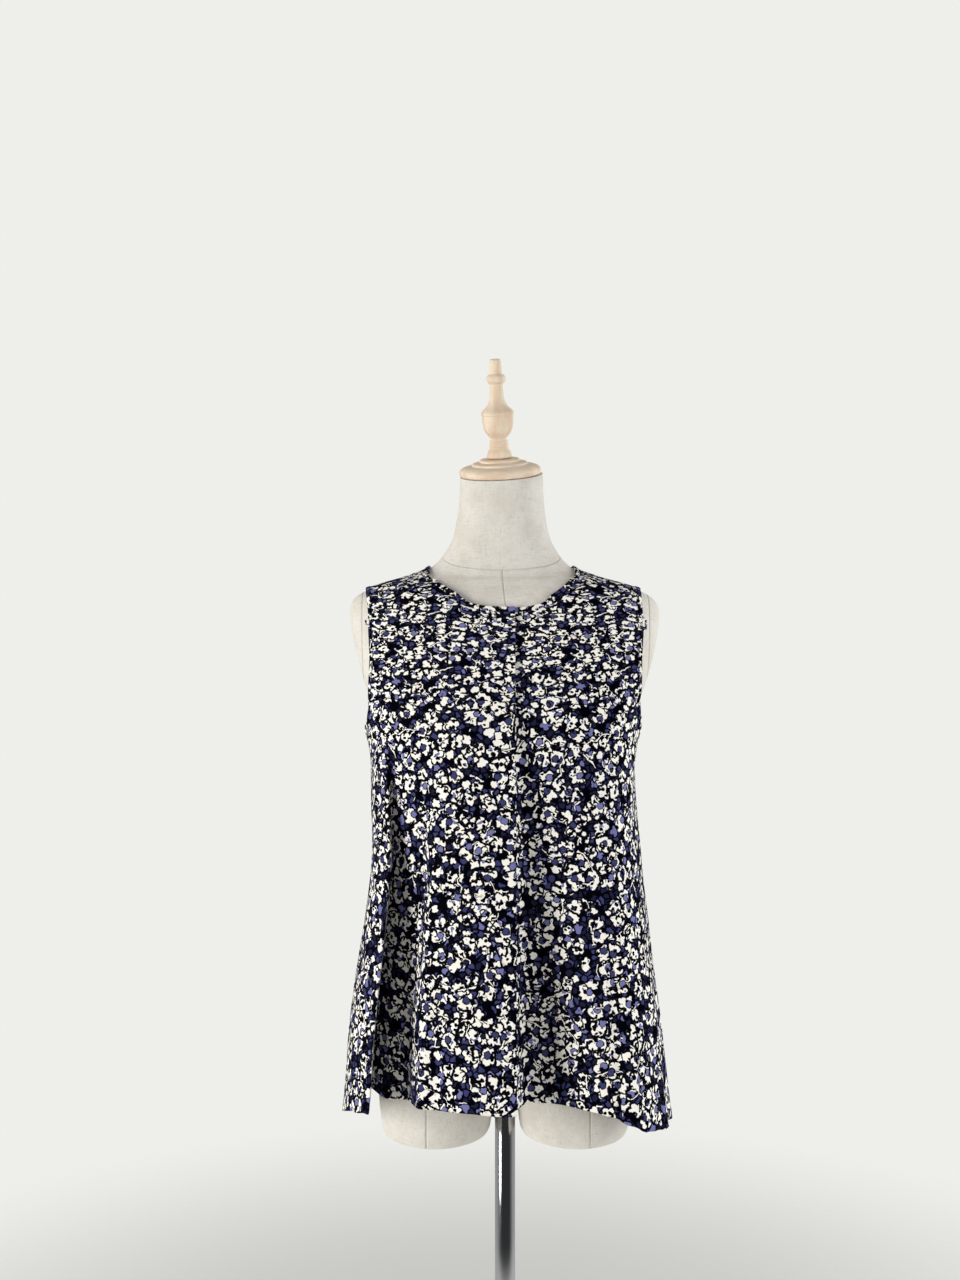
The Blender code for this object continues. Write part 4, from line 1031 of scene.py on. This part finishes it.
linen = {
    "pale": (0.73, 0.70, 0.64, 1.0),
    "deep": (0.66, 0.62, 0.55, 1.0),
    "fleck": (0.52, 0.47, 0.39, 1.0),
    "seam": (0.30, 0.27, 0.22, 1.0),
    "slow": (0.030, 0.35, 0.70),  # how far apart the paler and deeper places are, and the noise they span
    "thread": 0.0010,
    "threadLonger": 0.07,
    "threads": (1.06, 1.30, 0.0, 0.55),
    "rubEvery": 0.0042,
    "rubs": (0.50, 0.72, 0.0, 0.35),
    "seamWidth": 0.0006,
    "seamSolid": 0.3,  # share of its width that is fully dark
    "seamShows": 0.75,
    "grooveWidth": 0.00192,
    "thighTop": 0.77,  # below this height only the thigh seams show
    "armFoot": 1.19,  # and above this one the arm plates' seams do
    "baseFadesWhereLit": (0.035, -0.045, 0.00022, 0.00055),  # the neck's seam thins to the wearer's right, where the light falls: painted light, so it stays dark only on the shaded side
    "neckBase": 1.4002,  # height of the seam round the foot of the neck, over the pole
    "neckBaseTilt": 0.38,
    "armPlate": 0.1735,
    "thighSeams": (-0.0945, 0.0995),
}


def linenFinish():
    made = Finish("formLinen", 0.9)
    place = made.place("Object")
    x, y, z = made.split(place)
    every, low, high = linen["slow"]
    slow = made.cloud(place, every, 4.0, roughness=0.6)
    colour = made.colours(made.ramp(slow.outputs["Fac"], low, high), linen["pale"], linen["deep"])
    longer = linen["threadLonger"]
    warp = made.cloud(made.mapped(place, scale=(1.0, 1.0, longer)), linen["thread"], 2.0)
    weft = made.cloud(made.mapped(place, scale=(longer, longer, 1.0)), linen["thread"], 2.0)
    threads = made.math("ADD", warp.outputs["Fac"], weft.outputs["Fac"])
    colour = made.colours(made.ramp(threads, *linen["threads"]), colour, linen["fleck"])
    rub = made.cloud(place, linen["rubEvery"], 4.0, roughness=0.7).outputs["Fac"]
    colour = made.colours(made.ramp(rub, *linen["rubs"]), colour, linen["fleck"])

    # seams: down the front and back, round the foot of the neck, at the arm plates and on the thighs
    isHigh = made.math("GREATER_THAN", z, linen["thighTop"])
    base = made.math("SUBTRACT", z, made.math("MULTIPLY_ADD", y, linen["neckBaseTilt"], linen["neckBase"]))
    middle = made.ramp(z, form["topShiftFrom"], form["topShiftTo"], 0.0, form["topShift"])
    across = made.math("ABSOLUTE", made.math("SUBTRACT", x, middle))
    centre = made.math("ADD", across, made.math("SUBTRACT", 1.0, isHigh))
    centre = made.math("ADD", centre, made.math("GREATER_THAN", base, 0.0))
    # painted light: the seam round the foot of the neck fades out on the lit side, the wearer's right, and
    # stays dark on the shaded side
    base = made.math("ADD", made.math("ABSOLUTE", base), made.ramp(x, *linen["baseFadesWhereLit"]))
    plates = made.math("ABSOLUTE", made.math("SUBTRACT", made.math("ABSOLUTE", x), linen["armPlate"]))
    plates = made.math("ADD", plates, made.math("LESS_THAN", z, linen["armFoot"]))
    nearest = made.math("MINIMUM", made.math("MINIMUM", centre, base), plates)
    for seam in linen["thighSeams"]:
        thigh = made.math("ABSOLUTE", made.math("SUBTRACT", x, seam))
        nearest = made.math("MINIMUM", nearest, made.math("ADD", thigh, isHigh))
    width = linen["seamWidth"]
    sewn = made.ramp(nearest, width, linen["seamSolid"] * width, 0.0, linen["seamShows"])
    colour = made.colours(sewn, colour, linen["seam"])
    normal = made.bump(threads, 0.0003, 0.7)
    normal = made.bump(rub, 0.0007, 0.6, normal)
    normal = made.bump(made.ramp(nearest, 0.0, linen["grooveWidth"]), 0.0012, 0.7, normal)
    made.shader.inputs["Sheen Weight"].default_value = 0.08
    made.shader.inputs["Specular IOR Level"].default_value = 0.2
    return made.wear(colour, normal)


beech = {
    "pale": (0.80, 0.67, 0.52, 1.0),
    "deep": (0.70, 0.54, 0.39, 1.0),
    "fleck": (0.52, 0.37, 0.24, 1.0),
    "ringEvery": 0.012,
    "rings": (0.40, 0.68),
    "lineEvery": 0.010,
    "linesCloser": 4.0,
    "lines": (0.56, 0.70, 0.0, 0.5),
    "fleckEvery": 0.012,
    "flecksCloser": 14.0,
    "flecks": (0.68, 0.74, 0.0, 0.6),
    "matt": (0.3, 0.7, 0.46, 0.62),
}


def beechFinish(name, stretch):  # along an axis with a stretch under 1, the grain runs longer
    made = Finish(name, 0.52)
    place = made.mapped(made.place("Object"), rotation=(-cap["tilt"], -cap["lean"], 0.0))
    rings = made.cloud(made.mapped(place, scale=stretch), beech["ringEvery"], 3.0).outputs["Fac"]
    colour = made.colours(made.ramp(rings, *beech["rings"]), beech["pale"], beech["deep"])
    closer = tuple(share * beech["linesCloser"] for share in stretch)
    lines = made.cloud(made.mapped(place, scale=closer), beech["lineEvery"], 3.0).outputs["Fac"]
    colour = made.colours(made.ramp(lines, *beech["lines"]), colour, beech["deep"])
    closer = tuple(share * beech["flecksCloser"] for share in stretch)
    flecks = made.cloud(made.mapped(place, scale=closer), beech["fleckEvery"], 1.0).outputs["Fac"]
    colour = made.colours(made.ramp(flecks, *beech["flecks"]), colour, beech["fleck"])
    turning = made.cloud(made.mapped(place, scale=(0.05, 0.05, 1.0)), 0.0009, 2.0)
    normal = made.bump(turning.outputs["Fac"], 0.00012, 0.5)
    made.shader.inputs["Specular IOR Level"].default_value = 0.35
    return made.wear(colour, normal, made.ramp(rings, *beech["matt"]))


def dimmed(colour, share):
    return tuple(share * part for part in colour[:3]) + (1.0,)


metal = {
    "hazeEvery": 0.03,
    "hazeLonger": (1.0, 1.0, 0.2),
    "dimmest": 0.86,
    "scratchEvery": 0.0012,
}


def metalFinish(name, colour, low, high, brushed):  # roughness from low to high, scratches along brushed
    made = Finish(name, 0.5 * (low + high), 1.0)
    place = made.place("Object")
    haze = made.cloud(made.mapped(place, scale=metal["hazeLonger"]), metal["hazeEvery"], 4.0).outputs["Fac"]
    tone = made.colours(made.ramp(haze, 0.3, 0.8), colour, dimmed(colour, metal["dimmest"]))
    scratches = made.cloud(made.mapped(place, scale=brushed), metal["scratchEvery"], 3.0)
    normal = made.bump(scratches.outputs["Fac"], 0.00002, 0.3)
    return made.wear(tone, normal, made.ramp(haze, 0.25, 0.75, low, high))


print("making the finishes")
crepe = printFinish()
formCloth = linenFinish()
discWood = beechFinish("beechDisc", (0.25, 1.0, 1.0))
finialWood = beechFinish("beechFinial", (1.0, 1.0, 0.16))
poleChrome = metalFinish("poleChrome", (0.62, 0.63, 0.64, 1.0), 0.06, 0.14, (1.0, 1.0, 0.03))
footSteel = metalFinish("footSteel", (0.60, 0.60, 0.61, 1.0), 0.24, 0.36, (0.05, 1.0, 1.0))


rightFront = addPanel("rightFront", "rightFront", cloth["frontColumns"], crepe, "right_front")
leftFront = addPanel("leftFront", "leftFront", cloth["frontColumns"], crepe, "left_front")
backPanel = addPanel("backPanel", "back", cloth["backColumns"], crepe, "back_panel")
print("panels done")


bindings = {
    "wall": 0.0005,
    "acrossStep": 0.004,
    "underLap": 0.004,  # how far the left front's neck binding starts under the lap's edge
    "downShare": 0.18,  # of an armhole, where the band turns to lie along the side seam
    "section": (  # from the edge inward, and out from the middle of the cloth
        (0.0052, 0.0011), (0.0036, 0.0012), (0.0012, 0.0012), (0.0000, 0.0010), (-0.0006, 0.0005),
        (-0.0008, 0.0000), (-0.0006, -0.0005), (0.0000, -0.0010), (0.0012, -0.0012), (0.0044, -0.0012),
    ),
    "neckSteps": 90,
    "backNeckSteps": 140,
    "armholeSteps": 110,
}


def edgeFrames(piece, across, up, innerAcross, innerUp):  # places on an edge, with the ways in and out
    facing = 1 if piece == "back" else -1
    turn, level = panelCells(piece, across, up)
    onEdge = clothPoints(piece, turn, level)
    inner = clothPoints(piece, *panelCells(piece, innerAcross, innerUp))
    outward = normalsOf(clothSurface, turn, level, facing)
    return onEdge, inner - onEdge, outward


def squared(frames, closed):  # the same, with the way in square to the edge and to the way out
    onEdge, inward, outward = frames
    first, last = (onEdge[-1:], onEdge[:1]) if closed else (onEdge[:1], onEdge[-1:])
    around = np.concatenate([first, onEdge, last])
    square = np.cross(outward, around[2:] - around[:-2])
    square *= np.sign((square * inward).sum(axis=1))[:, None]
    square[np.isclose(np.abs(onEdge[:, 1]), 0.5 * cloth["seamGap"]), 1] = 0.0
    return onEdge, square / np.linalg.norm(square, axis=1)[:, None], outward


def addBinding(name, frames, closed, node):
    onEdge, inward, outward = squared(frames, closed)
    section = bindings["section"]
    count = len(onEdge) + (1 if closed else 0)
    bm = gridOf(count - 1, len(section) - 1)
    around, within = sharesOf(bm)
    column = np.rint(around * (count - 1)).astype(int)
    row = np.rint(within * (len(section) - 1)).astype(int)
    walked = runningSum(stepsOf(np.concatenate([onEdge, onEdge[:1]])))
    deep, high = np.array(section).T
    girth = runningSum(np.hypot(np.diff(deep), np.diff(high)))
    index = column % len(onEdge)
    moveAll(bm, onEdge[index] + inward[index] * deep[row][:, None] + outward[index] * high[row][:, None])
    layer = bm.loops.layers.uv.new("flatCloth")
    for face in bm.faces:
        for corner in face.loops:
            place = corner.vert.index
            corner[layer].uv = (walked[column[place]], girth[row[place]])
    if closed:
        bmesh.ops.remove_doubles(bm, verts=bm.verts, dist=fineness["merge"])
    faceOut(bm, sideways if closed else fromAxis)
    made = addPiece(name, meshFrom(bm, name), crepe, "printed_crepe", node)
    addWall(made, bindings["wall"])
    return made


def addNeckBinding(name, piece, acrossFrom, acrossTo, steps, node):
    across = np.linspace(acrossFrom, acrossTo, steps + 1)
    top = np.ones_like(across)
    frames = edgeFrames(piece, across, top, across, top - bindings["acrossStep"])
    return addBinding(name, frames, False, node)


def addArmholeBinding(name, front, side, node):
    share = np.linspace(0.0, 1.0, bindings["armholeSteps"] + 1)
    up = rowShare + (1.0 - rowShare) * share
    down = 1.0 - smoothStep(0.0, bindings["downShare"], share)
    loops = []
    for piece, edge, way in ((front, 1.0, -1.0), ("back", 0.5 + 0.5 * side, -float(side))):
        across = np.full_like(share, edge)
        innerAcross = across + way * bindings["acrossStep"] * (1.0 - down)
        loops.append(edgeFrames(piece, across, up, innerAcross, up - bindings["acrossStep"] * down))
    frames = [np.concatenate([rising, falling[-2:0:-1]]) for rising, falling in zip(*loops)]
    return addBinding(name, frames, True, node)


tries = np.linspace(0.0, cloth["neckShare"], fineness["neck"])
shown = clothPoints("leftFront", *panelCells("leftFront", tries, np.ones_like(tries)))[:, 0]
leftFrom = float(np.interp(cloth["lapEdge"] - bindings["underLap"], shown, tries))
half = 0.5 * cloth["neckShare"]
neckRows = (  # name, piece, from, to, steps, node
    ("neckBindingRight", "rightFront", 0.0, cloth["neckShare"], "neckSteps", "neck_binding_right"),
    ("neckBindingLeft", "leftFront", leftFrom, cloth["neckShare"], "neckSteps", "neck_binding_left"),
    ("neckBindingBack", "back", 0.5 - half, 0.5 + half, "backNeckSteps", "neck_binding_back"),
)
neckRight, neckLeft, neckBack = (
    addNeckBinding(name, piece, begins, ends, bindings[steps], node)
    for name, piece, begins, ends, steps, node in neckRows
)
armholeRight = addArmholeBinding("armholeBindingRight", "rightFront", -1, "armhole_binding_right")
armholeLeft = addArmholeBinding("armholeBindingLeft", "leftFront", 1, "armhole_binding_left")
print("bindings done")


# the form

def addForm():
    bm = gridOf(form["around"], form["up"])
    around, up = sharesOf(bm)
    turn = around * 360.0
    level = up * (len(form["rings"]) - 1)
    front = (turn <= 90.0) | (turn > 270.0)
    own = np.where(turn > 270.0, turn - 360.0, turn)
    points = formPoints(own, level, -1)
    behind = formPoints(180.0 - turn, level, 1)
    points[~front] = behind[~front]
    moveAll(bm, points)
    bmesh.ops.remove_doubles(bm, verts=bm.verts, dist=fineness["formMerge"])
    top = capFrame()
    everything = bm.verts[:] + bm.edges[:] + bm.faces[:]
    bmesh.ops.bisect_plane(
        bm, geom=everything, plane_co=top.translation, plane_no=top.col[2].xyz, clear_outer=True
    )
    bmesh.ops.holes_fill(bm, edges=bm.edges, sides=0)
    bmesh.ops.triangulate(bm, faces=[face for face in bm.faces if len(face.verts) > 4])
    bmesh.ops.recalc_face_normals(bm, faces=bm.faces)
    made = addPiece("dressForm", meshFrom(bm, "dressForm"), formCloth, "form_linen", "torso_form")
    helpers = []
    for side in (-1, 1):
        stub = spun(form["thighOutline"], form["thighSteps"])
        bmesh.ops.scale(stub, verts=stub.verts, vec=(1.0, form["thighDepth"], 1.0))
        bmesh.ops.translate(stub, verts=stub.verts, vec=(side * form["thighApart"], 0.0, 0.0))
        helpers.append(joinBy(made, meshFrom(stub, "thigh"), "UNION"))
    bore = bmesh.new()
    bmesh.ops.create_cone(
        bore, cap_ends=True, segments=form["boreSteps"], radius1=form["bore"], radius2=form["bore"],
        depth=form["boreDepth"],
    )
    middle = form["boreTop"] - 0.5 * form["boreDepth"]
    bmesh.ops.translate(bore, verts=bore.verts, vec=(0.0, 0.0, middle))
    helpers.append(joinBy(made, meshFrom(bore, "bore"), "DIFFERENCE"))
    bakeModifiers(made, helpers)
    made.data.set_sharp_from_angle(angle=form["sharp"])
    return made


def capFrame():
    foot = Vector((form["topShift"] + cap["shift"], -cap["ahead"], cap["neckTop"]))
    return Matrix.Translation(foot) @ Euler((cap["tilt"], cap["lean"], 0.0)).to_matrix().to_4x4()


def spun(outline, steps):  # outline is (radius, height), round the upright axis
    bm = bmesh.new()
    corners = [bm.verts.new((radius, 0.0, height)) for radius, height in outline]
    edges = [bm.edges.new(pair) for pair in zip(corners, corners[1:])]
    bmesh.ops.spin(
        bm, geom=corners + edges, axis=(0.0, 0.0, 1.0), cent=(0.0, 0.0, 0.0),
        angle=2.0 * math.pi, steps=steps, use_merge=True,
    )
    bmesh.ops.remove_doubles(bm, verts=bm.verts, dist=fineness["merge"])
    bmesh.ops.recalc_face_normals(bm, faces=bm.faces)
    return bm


def joinBy(made, mesh, operation):
    helper = addObject(mesh.name, mesh)
    helper.hide_render = True
    step = made.modifiers.new(mesh.name, "BOOLEAN")
    step.operation = operation
    step.solver = "EXACT"
    step.object = helper
    return helper


def bakeModifiers(made, helpers):
    graph = bpy.context.evaluated_depsgraph_get()
    mesh = bpy.data.meshes.new_from_object(made.evaluated_get(graph))
    made.modifiers.clear()
    made.data = mesh
    for helper in helpers:
        bpy.data.objects.remove(helper, do_unlink=True)


dressForm = addForm()
print("form done")


stand = {
    "poleRadius": 0.0125,
    "poleTop": 0.872,
    "chamfer": 0.0008,
    "collarRadius": 0.021,
    "collar": (  # up the axis, and past the collar's radius
        (0.0, 0.0055), (0.0005, 0.006), (0.0035, 0.006), (0.0044, 0.0052), (0.0050, 0.0030), (0.0065, 0.0),
        (0.0085, -0.0004), (0.0300, -0.0018), (0.0322, -0.0024), (0.0335, -0.0036), (0.0340, -0.0050),
    ),
    "footRadius": 0.150,
    "footThickness": 0.008,
    "foot": (  # up the axis, and past the foot's radius
        (0.0, -0.0020), (0.0006, -0.0008), (0.0020, 0.0), (0.0052, 0.0), (0.0068, -0.0008),
        (0.0077, -0.0022), (0.0080, -0.0040), (0.0080, -0.0100),
    ),
    "gap": 0.0003,
    "steps": 96,
    "footSteps": 160,
    "sharp": math.radians(50.0),
}


def pastRadius(rows, radius):
    return [(along, radius + past) for along, past in rows]


def addTurned(
    name, rows, steps, material, slot, node, place=Matrix.Identity(4), smoothing=0, bore=0.0
):
    outline = [(bore, rows[0][0])] + [(radius, along) for along, radius in rows] + [(bore, rows[-1][0])]
    if bore:  # its wall closes the outline
        outline.append(outline[0])
    bm = spun(outline, steps)
    bmesh.ops.transform(bm, verts=bm.verts, matrix=place)
    made = addPiece(name, meshFrom(bm, name), material, slot, node)
    made.data.set_sharp_from_angle(angle=stand["sharp"])
    if smoothing:
        fine = made.modifiers.new("finer", "SUBSURF")
        fine.levels = smoothing
        fine.render_levels = smoothing
    return made


onNeck = capFrame() @ Matrix.Translation((0.0, 0.0, cap["gap"]))
onDisc = onNeck @ Matrix.Translation((0.0, 0.0, cap["disc"][-1][0] + cap["gap"]))
addTurned("neckDisc", cap["disc"], cap["steps"], discWood, "beech", "neck_disc", onNeck, 1)
addTurned("finial", cap["finial"], cap["steps"], finialWood, "beech", "finial", onDisc, 1)

onFoot = stand["footThickness"] + stand["gap"]
chamfer = stand["chamfer"]
top = stand["poleTop"]
poleRows = ((onFoot, -chamfer), (onFoot + chamfer, 0.0), (top - chamfer, 0.0), (top, -chamfer))
poleRows = pastRadius(poleRows, stand["poleRadius"])
addTurned("pole", poleRows, stand["steps"], poleChrome, "chrome", "pole")
collarRows = pastRadius(stand["collar"], stand["collarRadius"])
raised = Matrix.Translation((0.0, 0.0, onFoot))
bore = stand["poleRadius"] + stand["gap"]
addTurned(
    "poleCollar", collarRows, stand["steps"], poleChrome, "chrome", "pole_collar", raised, bore=bore
)
footRows = pastRadius(stand["foot"], stand["footRadius"])
addTurned("footPlate", footRows, stand["footSteps"], footSteel, "foot_metal", "foot_plate")
print("stand and cap done")


# the stage, the lights and the camera

studio = {
    "floorReach": 2.2,
    "floorClear": 0.75,
    "floorGone": 1.9,
    "floorTone": (0.80, 0.80, 0.775, 1.0),
    "floorDimmest": 0.96,
    "backdrop": (0.855, 0.863, 0.828, 1.0),
    "roomLight": 0.44,
    "roomDark": (0.09, 0.09, 0.095, 1.0),
    "roomPale": (1.0, 1.0, 0.98, 1.0),
    "darkTo": -0.75,  # the room is dark in front up to this share of the way along Y
    "paleFrom": 0.25,
}


def addFloor():
    bm = bmesh.new()
    bmesh.ops.create_circle(bm, cap_ends=True, segments=96, radius=studio["floorReach"])
    made = Finish("paleFloor", 0.8)
    place = made.place("Object")
    away = made.vector("LENGTH", place)
    mottle = made.cloud(place, 0.4, 3.0)
    dimmest = dimmed(studio["floorTone"], studio["floorDimmest"])
    made.wear(made.colours(mottle.outputs["Fac"], studio["floorTone"], dimmest))
    shows = made.ramp(away, studio["floorClear"], studio["floorGone"], 1.0, 0.0)
    made.feed(made.shader.inputs["Alpha"], shows)
    floor = addObject("floor", meshFrom(bm, "floor"))
    floor.data.materials.append(made.material)


def addWorld():  # what the camera sees is plain and pale, and the room is dark in front
    world = bpy.data.worlds.new("paleRoom")
    bpy.context.scene.world = world
    world.use_nodes = True
    nodes = world.node_tree.nodes
    links = world.node_tree.links
    seen = nodes["Background"]
    seen.inputs["Color"].default_value = studio["backdrop"]
    lit = nodes.new("ShaderNodeBackground")
    lit.inputs["Strength"].default_value = studio["roomLight"]
    place = nodes.new("ShaderNodeTexCoord")
    split = nodes.new("ShaderNodeSeparateXYZ")
    links.new(place.outputs["Generated"], split.inputs[0])
    ramp = nodes.new("ShaderNodeMix")
    ramp.data_type = "RGBA"
    ramp.inputs[6].default_value = studio["roomDark"]
    ramp.inputs[7].default_value = studio["roomPale"]
    turned = nodes.new("ShaderNodeMapRange")
    turned.interpolation_type = "SMOOTHSTEP"
    turned.inputs["From Min"].default_value = studio["darkTo"]
    turned.inputs["From Max"].default_value = studio["paleFrom"]
    links.new(split.outputs["Y"], turned.inputs["Value"])
    links.new(turned.outputs[0], ramp.inputs[0])
    links.new(ramp.outputs[2], lit.inputs["Color"])
    path = nodes.new("ShaderNodeLightPath")
    mix = nodes.new("ShaderNodeMixShader")
    links.new(path.outputs["Is Camera Ray"], mix.inputs[0])
    links.new(lit.outputs[0], mix.inputs[1])
    links.new(seen.outputs[0], mix.inputs[2])
    links.new(mix.outputs[0], nodes["World Output"].inputs["Surface"])


lights = (  # name, place, looks at, width, height, watts, colour, shows in polished metal
    ("window", (-2.66, -1.78, 1.22), (0.0, 0.0, 1.12), 1.0, 2.0, 100.0, (1.0, 0.99, 0.97), True),
    ("fill", (2.45, -0.90, 1.3), (0.0, 0.0, 1.10), 2.0, 2.2, 62.0, (0.98, 0.99, 1.0), False),
    ("room", (0.5, -3.1, 1.5), (0.0, 0.0, 1.05), 2.4, 2.4, 11.0, (0.98, 0.99, 1.0), False),
    ("above", (0.1, 0.3, 3.6), (0.0, 0.0, 1.0), 2.4, 2.4, 8.0, (1.0, 1.0, 0.99), False),
)


def addLights():
    for name, place, target, width, height, watts, colour, shows in lights:
        data = bpy.data.lights.new(name, "AREA")
        data.shape = "RECTANGLE"
        data.size = width
        data.size_y = height
        data.energy = watts
        data.color = colour
        light = addObject(name, data)
        light.location = place
        light.visible_glossy = shows
        light.rotation_euler = (Vector(target) - Vector(place)).to_track_quat("-Z", "Y").to_euler()


view = {"place": (-0.031, -1.55, 1.294), "lens": 35.156, "sensor": 36.0, "nearest": 0.05, "furthest": 50.0}


def addCamera():
    data = bpy.data.cameras.new("view")
    data.lens = view["lens"]
    data.sensor_width = view["sensor"]
    data.clip_start = view["nearest"]
    data.clip_end = view["furthest"]
    camera = addObject("view", data)
    camera.location = view["place"]
    camera.rotation_euler = (math.radians(90.0), 0.0, 0.0)
    bpy.context.scene.camera = camera


addFloor()
addWorld()
addLights()
addCamera()
bpy.context.scene.view_settings.view_transform = "Standard"
print("studio done")
